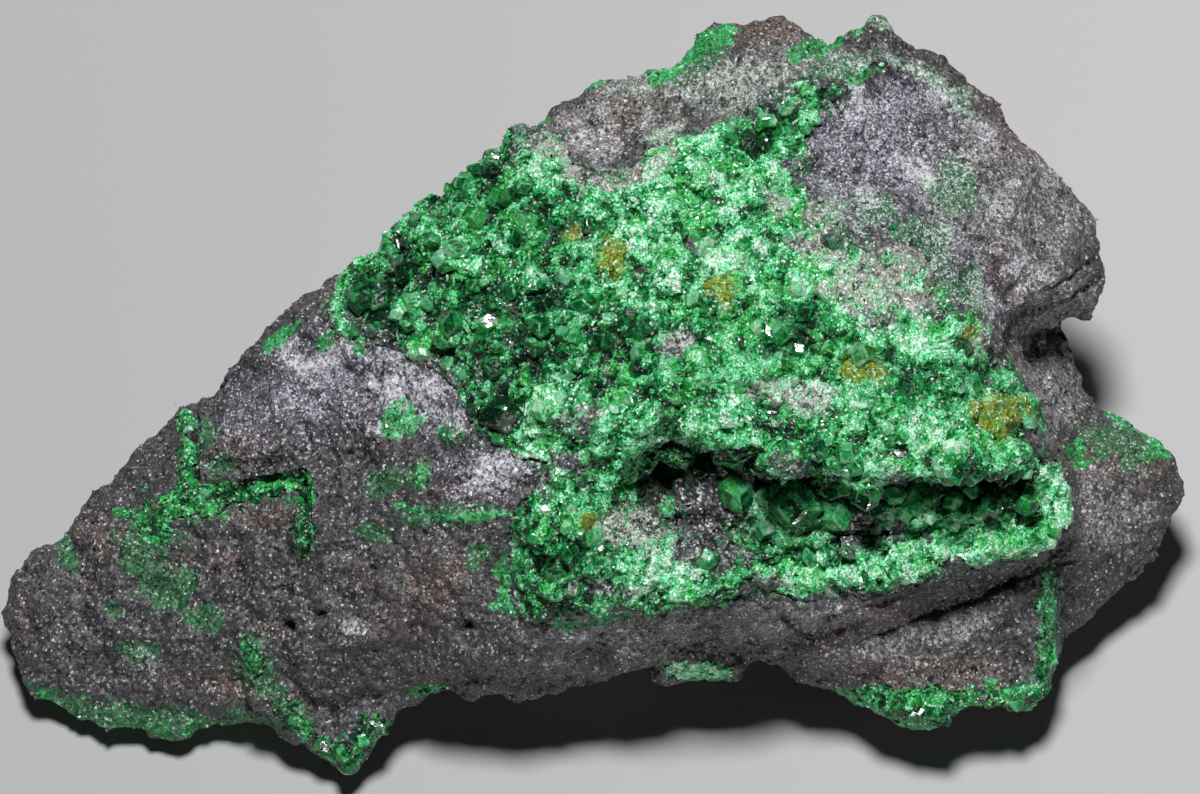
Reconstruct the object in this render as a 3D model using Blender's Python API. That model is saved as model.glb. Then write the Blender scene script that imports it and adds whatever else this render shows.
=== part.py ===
"""Green garnet druse on a lump of chromite, at real size, in metres, +Z up, lying on its flattest side.

The stone is described the way it is looked at: from the front, along a line of sight 62 degrees above the
table. A place on it is (across, up, height) in millimetres. Across runs to the right and up runs towards the
top of the plane that is square to the line of sight, and height is measured from the table.
"""

import math

import bmesh
import bpy
import numpy as np
from mathutils import Euler, Matrix, Vector, geometry, noise
from mathutils.bvhtree import BVHTree

MM = 0.001
SIGHT = math.radians(62.0)
# The middle of the stone's outline on the table, taken out so that the origin is under its centre.
CENTRE_X = -0.12
CENTRE_Y = -5.57

# The chromite: how finely it is shaped, how deep its breaks are, and the flat that it lies on.
SHAPE_SPACING = 1.3
BROKEN_GRAIN = 0.55
BREAK_DEPTH = 0.85
MATRIX_TRIANGLES = 2500
FOOT_HEIGHT = 0.45
# The garnet: its clearance from the chromite, and the fineness and thickness of its sheets.
GAP = 0.3
CRUST_SPACING = 2.2
CRUST_THICKNESS = 1.0
PATCH_SPACING = 1.5
PATCH_THICKNESS = 0.45

# The outline that the eye sees, clockwise from the left tip, with the height of each point above the table.
RIM = (
    (-33.1, -11.5, 3.5), (-32.1, -9.4, 4.6), (-30.4, -8.1, 5.2), (-29.6, -7.2, 5.8), (-28.3, -5.7, 6.4),
    (-26.1, -2.9, 7.4), (-24.6, -1.6, 8.0), (-24.2, -0.4, 8.5), (-23.0, 0.1, 9.0), (-21.2, 0.6, 10.0),
    (-20.1, 2.3, 11.0), (-18.1, 4.0, 12.0), (-16.2, 5.8, 12.7), (-13.8, 7.0, 13.6), (-11.8, 8.7, 14.6),
    (-10.7, 10.2, 15.4), (-8.4, 11.2, 16.4), (-7.2, 12.7, 17.4), (-5.8, 13.7, 18.0), (-5.0, 15.1, 18.6),
    (-2.9, 16.3, 19.4), (-1.4, 16.6, 19.5), (-0.7, 17.5, 20.0), (2.5, 18.1, 20.5), (3.7, 18.2, 20.5),
    (4.8, 19.2, 20.8), (5.8, 20.5, 21.0), (7.0, 21.0, 21.0), (9.1, 21.2, 21.0), (10.6, 20.8, 20.8),
    (12.0, 20.2, 20.4), (13.5, 20.0, 20.0), (14.4, 20.4, 20.0), (14.9, 21.2, 20.3), (15.7, 21.2, 20.2),
    (16.3, 20.0, 19.5), (17.9, 19.2, 19.0), (19.4, 18.7, 18.5), (20.5, 17.5, 17.8), (22.3, 16.7, 16.8),
    (23.4, 15.2, 16.0), (24.2, 13.5, 15.4), (25.4, 12.3, 14.6), (26.7, 10.9, 13.8), (27.6, 10.7, 13.4),
    (27.9, 8.9, 12.6), (27.7, 6.7, 11.6), (27.4, 4.9, 10.4), (26.7, 4.0, 9.0), (25.5, 3.5, 7.6),
    (26.4, 2.8, 6.6), (26.7, 1.4, 6.6), (27.4, 0.3, 6.8), (28.4, -0.7, 7.0), (29.8, -1.3, 7.2),
    (31.0, -2.0, 7.0), (31.4, -3.0, 6.8), (32.1, -4.4, 6.2), (31.9, -6.2, 5.4), (31.1, -8.1, 4.8),
    (30.2, -9.8, 4.2), (28.6, -11.4, 3.8), (26.5, -12.2, 3.6), (26.1, -13.6, 3.2), (25.7, -15.3, 2.8),
    (25.2, -16.8, 2.6), (24.2, -17.4, 2.6), (22.7, -17.9, 2.6), (21.7, -17.3, 3.0), (20.6, -16.8, 3.4),
    (19.2, -17.7, 2.8), (18.0, -18.8, 2.2), (16.7, -18.6, 2.2), (14.7, -17.8, 2.8), (13.4, -16.9, 3.4),
    (12.0, -16.4, 4.0), (10.3, -15.5, 5.0), (8.5, -14.5, 6.2), (7.3, -14.2, 7.0), (5.5, -14.0, 7.6),
    (3.6, -14.6, 7.4), (2.1, -15.1, 7.0), (0.0, -15.7, 6.4), (-2.2, -16.4, 5.6), (-4.5, -16.9, 5.0),
    (-6.6, -16.6, 5.0), (-7.9, -16.1, 5.0), (-8.9, -16.6, 4.6), (-9.9, -17.5, 3.8), (-11.3, -17.9, 3.2),
    (-12.0, -19.1, 2.4), (-12.9, -20.5, 1.4), (-13.8, -21.2, 0.8), (-14.6, -20.8, 0.9), (-15.7, -19.7, 1.3),
    (-17.5, -19.2, 1.6), (-19.2, -18.3, 1.9), (-21.2, -17.9, 2.0), (-23.1, -18.4, 1.7), (-24.8, -18.2, 1.7),
    (-26.4, -18.5, 1.6), (-28.3, -17.9, 1.6), (-30.2, -17.3, 1.7), (-31.9, -16.9, 1.9), (-32.7, -15.0, 2.4),
    (-32.7, -13.4, 2.8),
)

# Lines where the surface breaks: the lip over the open cleft, its foot, and the ledges and ridges around them.
LIP_EDGE = (
    (1.3, -3.1, 17.0), (3.0, -2.6, 17.6), (5.5, -2.2, 18.0), (8.0, -2.8, 18.0), (10.4, -3.8, 17.6),
    (11.7, -3.3, 17.8), (13.1, -4.3, 17.4), (14.8, -4.7, 17.2), (16.8, -4.8, 17.0), (19.2, -4.5, 16.6),
    (22.0, -4.2, 16.2), (24.3, -4.2, 15.4),
)
LIP_FOOT = (
    (1.8, -3.9, 14.6), (3.0, -4.6, 12.8), (5.5, -4.0, 12.9), (8.0, -4.5, 12.8), (11.0, -5.1, 12.7),
    (13.8, -5.7, 12.6), (16.8, -5.7, 12.4), (19.2, -5.5, 12.3), (22.0, -5.3, 12.2), (24.2, -5.2, 12.4),
)
BENCH_RIM = (
    (-3.9, -12.4, 10.6), (-1.1, -11.8, 11.4), (2.2, -11.4, 11.9), (5.5, -11.1, 12.3), (8.0, -10.0, 12.8),
    (11.0, -10.7, 12.0), (14.3, -10.6, 11.8), (17.6, -9.7, 12.0), (21.2, -9.1, 11.8), (24.5, -8.1, 11.6),
    (25.9, -6.8, 11.6),
)
STEP_TOP = (
    (25.9, -6.8, 11.6), (25.7, -4.6, 12.6), (25.0, -2.4, 13.6), (24.2, -0.4, 14.2), (23.0, 1.5, 14.8),
    (22.3, 3.4, 15.6), (22.7, 5.2, 16.2), (24.2, 5.8, 15.8), (26.1, 6.7, 14.4), (27.7, 7.6, 12.2),
)
STEP_FOOT = (
    (26.4, -7.6, 8.2), (26.2, -4.6, 9.0), (25.7, -2.6, 9.2), (24.9, -0.8, 9.4), (23.6, 1.0, 9.6),
    (23.0, 2.8, 9.8), (24.2, 3.2, 8.8), (25.5, 3.5, 7.6),
)
PLATEAU_EDGE = (
    (-16.5, 3.7, 13.9), (-12.7, 3.3, 15.2), (-9.9, 2.8, 16.0), (-8.0, 1.3, 16.4), (-6.5, -1.5, 16.2),
    (-3.9, -3.2, 16.1), (-2.2, -3.0, 16.5), (-3.7, -5.1, 15.2), (-4.6, -8.1, 13.8), (-4.2, -11.2, 11.6),
)
CREST = (
    (0.0, 16.3, 20.8), (5.5, 17.3, 21.6), (11.0, 18.4, 21.6), (14.5, 18.6, 21.1), (15.7, 17.2, 20.4),
    (19.8, 16.6, 18.6), (22.0, 14.7, 17.6), (24.1, 11.4, 16.2),
)
BREAKS = (LIP_EDGE, LIP_FOOT, BENCH_RIM, STEP_TOP, STEP_FOOT, PLATEAU_EDGE, CREST)

# Spot heights between those lines.
PLATEAU = (
    (-12.1, 5.9, 15.2), (-8.8, 8.6, 17.6), (-8.8, 4.8, 16.8), (-5.5, 10.8, 18.8), (-4.4, 6.4, 18.6),
    (-4.4, 1.5, 17.6), (0.0, 12.5, 20.2), (0.0, 8.1, 19.8), (0.0, 3.7, 19.2), (0.0, -0.2, 18.2),
    (5.5, 11.9, 21.0), (5.5, 6.4, 20.4), (5.5, 1.5, 19.2), (11.0, 8.1, 20.6), (11.0, 3.7, 19.8),
    (11.0, -0.7, 18.8), (16.5, 5.3, 19.2), (16.5, 0.9, 18.4), (16.5, -2.4, 17.8), (20.9, 2.6, 17.4),
    (20.9, -1.8, 16.8), (23.1, -2.4, 15.9),
)
TOP_RIGHT = (
    (13.8, 15.8, 20.6), (12.7, 11.4, 20.8), (16.5, 9.2, 20.0), (19.2, 13.0, 19.2), (22.0, 10.8, 18.0),
    (19.8, 7.5, 19.0), (22.6, 7.8, 17.4), (25.3, 9.5, 15.4), (25.3, 5.1, 12.4),
)
BENCH = (
    (0.0, -6.8, 14.4), (-1.1, -9.0, 13.2), (2.8, -9.0, 13.4), (5.5, -7.9, 13.2), (8.8, -7.3, 13.0),
    (12.7, -7.9, 12.8), (16.5, -7.9, 12.6), (19.8, -7.3, 12.4), (23.1, -6.8, 12.4),
)
FRONT_FLANK = (
    (-2.2, -14.2, 8.6), (1.1, -13.4, 9.6), (5.5, -12.5, 10.4), (8.8, -12.5, 10.2), (11.0, -13.9, 8.0),
    (13.8, -12.4, 10.2), (15.4, -14.7, 6.8), (18.1, -11.2, 10.2), (18.7, -13.9, 7.2), (18.1, -16.7, 4.8),
    (22.0, -11.2, 9.0), (22.6, -13.9, 6.4), (23.1, -16.1, 4.2), (24.8, -9.5, 9.6), (25.0, -12.8, 6.2),
    (26.4, -9.8, 7.0),
)
LEFT_FLANK = (
    (-29.7, -11.2, 5.8), (-29.7, -14.5, 4.2), (-26.9, -7.3, 7.8), (-26.9, -11.2, 6.4), (-26.9, -15.0, 4.2),
    (-23.6, -4.6, 9.2), (-23.6, -9.0, 8.0), (-23.6, -12.8, 6.2), (-23.6, -16.1, 3.8), (-19.8, -1.8, 11.4),
    (-19.8, -7.9, 9.4), (-19.8, -11.7, 7.6), (-19.8, -16.1, 4.0), (-16.5, 0.9, 13.2), (-15.9, -2.9, 12.4),
    (-15.9, -7.9, 10.8), (-15.4, -12.3, 8.6), (-14.8, -16.1, 5.4), (-13.8, -19.3, 2.4), (-12.7, -1.8, 13.8),
    (-12.1, -6.8, 12.4), (-11.0, -11.2, 10.6), (-10.4, -15.0, 7.4), (-8.8, -2.4, 15.2), (-7.7, -6.8, 13.8),
    (-7.2, -11.2, 11.6), (-6.6, -14.5, 8.8),
)
LOBE = (
    (26.9, -2.4, 9.0), (29.7, -2.9, 8.6), (31.1, -4.6, 7.4), (27.8, -4.8, 8.6), (27.8, -8.1, 7.0),
    (29.7, -8.1, 5.6), (27.2, -10.6, 5.2),
)
SPOTS = (*PLATEAU, *TOP_RIGHT, *BENCH, *FRONT_FLANK, *LEFT_FLANK, *LOBE)

# Recesses in the face: (across, up, radius, depth).
RECESSES = (
    (-5.3, -0.6, 1.6, 1.1),
    (-3.7, 5.4, 0.9, 0.7),
    (9.4, 14.1, 2.4, 0.9),
    (-5.8, 10.6, 1.8, 0.8),
    (1.4, 3.4, 1.5, 0.6),
)
# Narrow clefts: a route, its depth and its half width.
FISSURE = ((-22.1, -0.3), (-22.4, -2.4), (-22.6, -5.0), (-19.8, -5.0), (-16.3, -4.8), (-16.3, -6.8), (-16.3, -8.4))
CRACK = ((25.3, -8.7), (22.2, -10.1), (19.9, -11.4), (16.5, -12.6), (14.2, -13.5))
CLEFTS = ((FISSURE, 0.9, 0.9), (CRACK, 1.0, 0.8))

# The hollow under the lip, as overlapping egg shapes: (across, up, height, half width, half depth, half height).
HOLLOW = (
    (3.6, -4.0, 14.6, 2.6, 2.6, 2.1),
    (8.4, -4.1, 14.6, 4.0, 3.2, 2.1),
    (13.6, -5.0, 14.3, 4.2, 3.2, 2.0),
    (19.0, -4.9, 14.1, 4.6, 3.0, 1.9),
    (22.8, -4.8, 13.9, 2.4, 2.2, 1.7),
)

# The garnet crust's edge on the face, and the mouth of the hollow where it is missing.
CRUST_EDGE = (
    (-14.0, 6.7), (-11.7, 8.6), (-10.6, 10.0), (-9.5, 10.8), (-8.1, 11.0), (-6.9, 12.5), (-5.6, 13.5),
    (-4.6, 14.9), (-3.0, 14.4), (-1.9, 12.2), (1.1, 10.9), (2.9, 13.1), (5.5, 14.0), (7.6, 15.3),
    (10.2, 16.7), (13.1, 17.0), (12.8, 15.5), (11.8, 14.2), (11.7, 13.0), (10.3, 11.5), (12.9, 10.2),
    (14.7, 8.6), (16.8, 8.0), (18.1, 5.9), (21.2, 3.7), (22.3, 1.6), (24.0, -0.3), (24.9, -2.3),
    (25.4, -4.5), (25.6, -6.5), (24.5, -7.9), (21.2, -8.7), (18.1, -9.5), (14.2, -10.3), (11.0, -10.4),
    (8.1, -9.6), (6.2, -10.8), (2.8, -11.5), (0.0, -11.4), (-1.6, -12.4), (-3.9, -12.0), (-4.3, -9.0),
    (-4.5, -6.8), (-3.0, -5.4), (-2.1, -3.2), (-3.9, -2.9), (-6.3, -1.5), (-7.3, 0.7), (-8.8, 1.9),
    (-10.7, 3.2), (-12.9, 3.5), (-14.6, 4.3),
)
CRUST_MOUTH = (
    (2.8, -3.7), (5.5, -3.3), (8.4, -3.8), (11.7, -4.4), (13.8, -5.1), (19.2, -5.1), (23.6, -4.9),
    (24.4, -6.3), (21.4, -7.2), (18.1, -7.4), (15.4, -7.6), (12.1, -8.6), (9.1, -8.2), (5.8, -7.0),
    (3.0, -6.9), (2.2, -5.4),
)
# Where the crust's crystals grew large: (across, up, reach, how many, mean radius).
CRYSTAL_BEDS = (
    (-8.4, 7.4, 4.8, 15, 1.3),
    (-4.6, 11.4, 2.4, 5, 1.25),
    (-4.4, 2.4, 3.8, 12, 1.25),
    (1.4, 2.8, 3.0, 5, 1.15),
    (9.6, 14.2, 1.9, 4, 1.2),
    (11.5, 3.5, 6.5, 8, 1.15),
    (3.5, 9.0, 3.5, 4, 1.1),
    (20.5, -1.0, 3.4, 4, 1.15),
    (-2.6, -8.4, 2.2, 4, 1.15),
    (16.5, -8.6, 4.5, 3, 1.1),
)
# Nodules that hang along the lip: (across, up, radius).
LIP_NODULES = ((9.8, -3.4, 1.7), (14.6, -4.1, 1.7), (19.0, -3.7, 1.5), (22.4, -3.5, 1.6), (5.6, -2.0, 1.4))

# The large crystals in the hollow: (across, up, radius).
POCKET_CRYSTALS = (
    (7.0, -5.2, 1.8), (10.8, -5.8, 2.1), (12.7, -6.2, 1.7), (9.0, -6.0, 1.2), (10.3, -7.4, 1.2),
    (11.5, -8.3, 1.1), (14.7, -5.9, 1.5), (16.9, -6.0, 2.0), (18.1, -6.8, 1.0), (19.3, -6.0, 1.6),
    (21.3, -6.1, 1.6), (23.1, -6.1, 1.4), (4.9, -5.5, 1.2),
)
POCKET_FLOOR = ((4.6, -5.7), (7.0, -5.9), (11.0, -6.6), (14.5, -6.4), (18.5, -6.0), (23.2, -5.9))

# Smaller patches of garnet, each as an outline on the face and its crystals as (across, up, radius).
FISSURE_EDGE = (
    (-23.3, -0.3), (-21.8, -0.4), (-21.6, -2.6), (-21.9, -4.4), (-20.3, -5.0), (-18.6, -4.9), (-16.5, -4.2),
    (-15.6, -4.8), (-15.6, -6.6), (-15.9, -8.4), (-16.7, -8.3), (-16.9, -6.4), (-18.3, -5.9), (-19.8, -6.3),
    (-21.4, -7.3), (-23.6, -7.4), (-25.7, -6.7), (-25.2, -5.2), (-23.4, -4.4), (-22.9, -2.4),
)
FISSURE_CRYSTALS = (
    (-22.5, -1.2, 0.9), (-22.3, -3.2, 1.0), (-22.4, -5.4, 1.2), (-24.1, -6.0, 1.0), (-20.8, -5.9, 1.1),
    (-19.2, -5.4, 0.9), (-17.4, -5.2, 0.8), (-16.2, -5.4, 1.0), (-16.2, -7.3, 0.9),
)
LEFT_RIM_EDGE = (
    (-20.1, -13.2), (-18.6, -13.8), (-17.6, -15.7), (-16.6, -17.1), (-15.0, -17.6), (-13.4, -18.3),
    (-12.4, -17.2), (-11.3, -17.4), (-11.6, -18.4), (-12.6, -19.9), (-13.8, -20.8), (-14.7, -20.3),
    (-15.8, -19.3), (-17.5, -18.7), (-18.9, -17.4), (-19.5, -15.6),
)
LEFT_RIM_CRYSTALS = (
    (-19.2, -14.6, 0.9), (-18.4, -16.4, 1.0), (-17.0, -17.7, 1.2), (-15.3, -18.7, 1.1), (-13.9, -19.6, 1.7),
    (-12.4, -18.4, 1.1), (-14.2, -18.5, 0.9),
)
RIGHT_RIM_EDGE = (
    (13.9, -16.0), (15.3, -16.2), (17.6, -16.4), (19.6, -15.3), (21.8, -15.6), (23.4, -15.0),
    (24.1, -12.9), (24.1, -10.4), (24.9, -9.6), (25.3, -12.0), (25.3, -14.2), (24.9, -16.2),
    (23.6, -17.2), (21.9, -17.0), (20.6, -16.4), (19.2, -17.2), (18.0, -18.2), (16.3, -18.0), (14.6, -17.2),
)
RIGHT_RIM_CRYSTALS = (
    (15.0, -16.8, 1.0), (16.6, -17.3, 1.2), (18.3, -17.3, 1.4), (19.8, -16.2, 1.1), (21.2, -16.2, 1.2),
    (22.7, -16.4, 1.4), (24.2, -15.6, 1.3), (24.6, -13.9, 1.0), (24.7, -11.9, 0.9),
)
# Rows of crystals under the arch: (up, height, radius).
UNDERSIDE_ROWS = ((-14.9, 4.8, 1.2), (-14.4, 6.2, 1.2))


def clear_scene():
    for old in list(bpy.data.objects):
        bpy.data.objects.remove(old)


def place(across, up, height):
    """The point, in metres, seen at (across, up) on the face and that high above the table, all in millimetres."""
    away = (up - height * math.cos(SIGHT)) / math.sin(SIGHT)
    return Vector((across - CENTRE_X, away - CENTRE_Y, height)) * MM


def inside(point, loop):
    """Whether a flat point is inside a closed outline."""
    x, y = point[0], point[1]
    a = np.array([p[:2] for p in loop], float)
    b = np.roll(a, -1, axis=0)
    crossing = (a[:, 1] > y) != (b[:, 1] > y)
    a, b = a[crossing], b[crossing]
    return bool(np.count_nonzero(x < a[:, 0] + (b[:, 0] - a[:, 0]) * (y - a[:, 1]) / (b[:, 1] - a[:, 1])) % 2)


def stepped(route, spacing, closed=False):
    """The route with points added so that no step is longer than the spacing. It keeps any height as well."""
    ends = [*route, route[0]] if closed else list(route)
    points = []
    for start, end in zip(ends, ends[1:]):
        a, b = np.array(start, float), np.array(end, float)
        parts = max(1, math.ceil(np.linalg.norm((b - a)[:2]) / spacing))
        points += [a + (b - a) * k / parts for k in range(parts)]
    return points if closed else [*points, np.array(ends[-1], float)]


def distance_to(route, point):
    """How far a flat point is from a route."""
    p = np.array(point[:2], float)
    a = np.array([q[:2] for q in route[:-1]], float)
    b = np.array([q[:2] for q in route[1:]], float)
    along = np.clip(np.sum((p - a) * (b - a), axis=1) / np.sum((b - a) ** 2, axis=1), 0.0, 1.0)
    return float(np.min(np.linalg.norm(a + (b - a) * along[:, None] - p, axis=1)))


class Relief:
    """Heights between landmarks, on the triangles that join them."""

    def __init__(self, rim, breaks, spots):
        points = [Vector(p) for p in rim]
        edges = [(k, (k + 1) % len(rim)) for k in range(len(rim))]
        for line in breaks:
            first = len(points)
            points += [Vector(p) for p in line]
            edges += [(k, k + 1) for k in range(first, first + len(line) - 1)]
        points += [Vector(p) for p in spots]
        flat = [p.xy for p in points]
        verts, _, faces, origins, _, _ = geometry.delaunay_2d_cdt(flat, edges, [], 0, 1e-4, True)
        heights = [points[found[0]].z if found else None for found in origins]
        self.triangles = [
            [(*verts[k], heights[k]) for k in face] for face in faces if None not in [heights[k] for k in face]
        ]
        self.corners = np.array(self.triangles, float)

    def height(self, across, up):
        a, b, c = self.corners[:, 0], self.corners[:, 1], self.corners[:, 2]
        area = (b[:, 0] - a[:, 0]) * (c[:, 1] - a[:, 1]) - (c[:, 0] - a[:, 0]) * (b[:, 1] - a[:, 1])
        w_b = ((across - a[:, 0]) * (c[:, 1] - a[:, 1]) - (c[:, 0] - a[:, 0]) * (up - a[:, 1])) / area
        w_c = ((b[:, 0] - a[:, 0]) * (up - a[:, 1]) - (across - a[:, 0]) * (b[:, 1] - a[:, 1])) / area
        w_a = 1.0 - w_b - w_c
        best = int(np.argmax(np.minimum(np.minimum(w_a, w_b), w_c)))
        shares = np.clip([w_a[best], w_b[best], w_c[best]], 0.0, 1.0)
        return float(shares @ [a[best, 2], b[best, 2], c[best, 2]] / shares.sum())


def triangulate(outline, lines, spacing, holes=()):
    """Covers an outline with triangles of about one size that keep its edge, its holes and the lines."""
    points, edges = [], []

    def add_chain(chain, closed):
        first = len(points)
        points.extend(Vector(p[:2]) for p in chain)
        edges.extend((k, k + 1) for k in range(first, len(points) - 1))
        if closed:
            edges.append((len(points) - 1, first))

    add_chain(outline, True)
    for hole in holes:
        add_chain(hole, True)
    border = [p[:2] for p in [*outline, outline[0]]]
    for line in lines:
        run = []
        for p in [*stepped(line, spacing), None]:
            if p is not None and inside(p, outline) and distance_to(border, p) > 0.6 * spacing:
                run.append(p)
            elif len(run) > 1:
                add_chain(run, False)
                run = []
            else:
                run = []
    fixed = np.array([p[:] for p in points])
    low, high = fixed.min(axis=0), fixed.max(axis=0)
    row_height = spacing * math.sqrt(0.75)
    for row in range(int((high[1] - low[1]) / row_height) + 1):
        y = low[1] + row * row_height
        for column in range(int((high[0] - low[0]) / spacing) + 2):
            x = low[0] + (column - 0.5 * (row % 2)) * spacing
            shift = noise.noise_vector(Vector((x, y, 3.7)) * 0.9) * 0.28 * spacing
            p = (x + shift.x, y + shift.y)
            if np.min(np.linalg.norm(fixed - p, axis=1)) < 0.62 * spacing or not inside(p, outline):
                continue
            if not any(inside(p, hole) for hole in holes):
                points.append(Vector(p))
    verts, _, faces, origins, _, _ = geometry.delaunay_2d_cdt(points, edges, [], 0, 0.02, True)
    kept = []
    for face in faces:
        middle = sum((verts[k] for k in face), Vector((0.0, 0.0))) / 3
        if inside(middle, outline) and not any(inside(middle, hole) for hole in holes):
            turn = (verts[face[1]] - verts[face[0]]).cross(verts[face[2]] - verts[face[0]])
            kept.append(tuple(face) if turn > 0 else tuple(reversed(face)))
    new_index = {old: k for k, found in enumerate(origins) for old in found}
    return verts, kept, [new_index[k] for k in range(len(outline))]


def bowl(distance, reach):
    """1 in the middle of a recess, falling smoothly to 0 at its reach."""
    share = max(0.0, 1.0 - (distance / reach) ** 2)
    return share * share


RELIEF = Relief(RIM, BREAKS, SPOTS)


def face_height(across, up):
    """Height of the chromite's face before it is broken up and the hollow is cut."""
    height = RELIEF.height(across, up)
    for x, y, radius, depth in RECESSES:
        height -= depth * bowl(math.hypot(across - x, up - y), 1.6 * radius)
    for route, depth, half_width in CLEFTS:
        height -= depth * bowl(distance_to(route, (across, up)), 1.5 * half_width)
    return height


def underside_height(across, up, rim):
    """Height of the underside: it slopes in from the rim, in broad uneven facets, to the flat that it lies on."""
    offsets = rim[:, :2] - np.array([across, up])
    away = np.linalg.norm(offsets, axis=1)
    weight = 1.0 / (away + 0.3) ** 4
    weight /= weight.sum()
    inward = float(away.min())
    upward = max(-1.0, min(1.0, float(weight @ offsets[:, 1]) / (inward + 0.3)))
    slope = 1.35 + (0.9 if upward > 0 else 0.35) * upward
    slope *= 1.0 + 0.3 * noise.noise(Vector((*(weight @ rim[:, :2]), 5.0)) / 5.5)
    return max(0.0, float(weight @ rim[:, 2]) - slope * inward)


def roughened(loop, spacing):
    """A closed outline in short steps, each nudged a little so that no stretch is straight."""
    nudged = []
    for point in stepped(loop, spacing, closed=True):
        nudge = noise.noise_vector(Vector((point[0], point[1], 0.0)) * 0.8) * 0.22
        point[:2] += nudge.xy
        nudged.append(tuple(point))
    return nudged


def new_mesh_object(name, shape):
    """An object from a bmesh, in triangles so that every face is flat."""
    bmesh.ops.triangulate(shape, faces=shape.faces)
    bmesh.ops.recalc_face_normals(shape, faces=shape.faces)
    mesh = bpy.data.meshes.new(name)
    shape.to_mesh(mesh)
    shape.free()
    made = bpy.data.objects.new(name, mesh)
    bpy.context.scene.collection.objects.link(made)
    return made


def shape_from(points, faces):
    shape = bmesh.new()
    corners = [shape.verts.new(p) for p in points]
    for face in faces:
        shape.faces.new([corners[k] for k in face])
    return shape


def evaluate(target):
    """Turns the object's modifiers into its own mesh."""
    graph = bpy.context.evaluated_depsgraph_get()
    mesh = bpy.data.meshes.new_from_object(target.evaluated_get(graph))
    target.modifiers.clear()
    target.data = mesh


def combine(target, other, operation):
    """Cuts the other object from the target, or joins it, and removes the other."""
    modifier = target.modifiers.new(operation.title(), "BOOLEAN")
    modifier.operation = operation
    modifier.object = other
    modifier.solver = "EXACT"
    modifier.use_self = True
    evaluate(target)
    bpy.data.objects.remove(other)


def keep_largest(target, flatten):
    """Keeps the largest connected body, as the small chips that a cut leaves would be loose.

    Faces that differ by less than the flatten angle, in degrees, are merged first.
    """
    shape = bmesh.new()
    shape.from_mesh(target.data)
    bmesh.ops.dissolve_limit(shape, angle_limit=math.radians(flatten), verts=shape.verts, edges=shape.edges)
    bmesh.ops.triangulate(shape, faces=shape.faces)
    unseen, bodies = set(shape.verts), []
    while unseen:
        body, front = [], [unseen.pop()]
        while front:
            vertex = front.pop()
            body.append(vertex)
            near = [edge.other_vert(vertex) for edge in vertex.link_edges]
            front += [v for v in near if v in unseen]
            unseen.difference_update(near)
        bodies.append(body)
    largest = max(bodies, key=len)
    loose = [v for body in bodies if body is not largest for v in body]
    bmesh.ops.delete(shape, geom=loose, context="VERTS")
    shape.to_mesh(target.data)
    shape.free()


def grown(source, name, distance):
    """A copy with its surface moved outwards, which cuts a neighbour so that the two stay clear."""
    shape = bmesh.new()
    shape.from_mesh(source.data)
    shape.normal_update()
    normals = [vertex.normal.copy() for vertex in shape.verts]
    for vertex, normal in zip(shape.verts, normals):
        vertex.co += normal * distance * MM
    return new_mesh_object(name, shape)


def garnet_points(radius):
    """The 14 corners of a rhombic dodecahedron, the garnet's usual form, that many millimetres to a corner."""
    unit = radius * MM / 2
    cube = [Vector((x, y, z)) * unit for x in (-1, 1) for y in (-1, 1) for z in (-1, 1)]
    tips = [Vector(axis) * 2 * side * unit for axis in ((1, 0, 0), (0, 1, 0), (0, 0, 1)) for side in (-1, 1)]
    return cube + tips


def crystal_cluster(name, crystals, seed):
    """Garnets at (centre, radius), each turned its own way, as one object of overlapping closed shapes."""
    random = np.random.default_rng(seed)
    shape = bmesh.new()
    for centre, radius in crystals:
        turn = Euler(random.uniform(0, math.tau, 3)).to_matrix().to_4x4()
        move = Matrix.Translation(centre) @ turn
        corners = [shape.verts.new(move @ p) for p in garnet_points(radius)]
        bmesh.ops.convex_hull(shape, input=corners)
    return new_mesh_object(name, shape)


def slab(name, outline, holes, lines, spacing, top, bottom):
    """A closed plate over an outline of the face, between two heights given as functions of the place."""
    outline = roughened(outline, spacing)
    holes = [roughened(hole, spacing) for hole in holes]
    verts, faces, _ = triangulate(outline, lines, spacing, holes)
    count = len(verts)
    points = [place(v.x, v.y, top(v.x, v.y)) for v in verts] + [place(v.x, v.y, bottom(v.x, v.y)) for v in verts]
    directed = {(face[k], face[(k + 1) % 3]) for face in faces for k in range(3)}
    border = [(a, b) for a, b in directed if (b, a) not in directed]
    walls = [(b, a, a + count, b + count) for a, b in border]
    under = [tuple(k + count for k in reversed(face)) for face in faces]
    return new_mesh_object(name, shape_from(points, faces + under + walls))


def broken(point):
    """How far a broken surface stands out at a point, both in millimetres: soft lumps with chips taken off them."""
    lumps = noise.fractal(point / 5.0, 0.9, 2.1, 3)
    chips = noise.voronoi(point / 2.4)[0][0] - 0.45
    return BREAK_DEPTH * (0.8 * lumps - 0.9 * chips)


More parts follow.
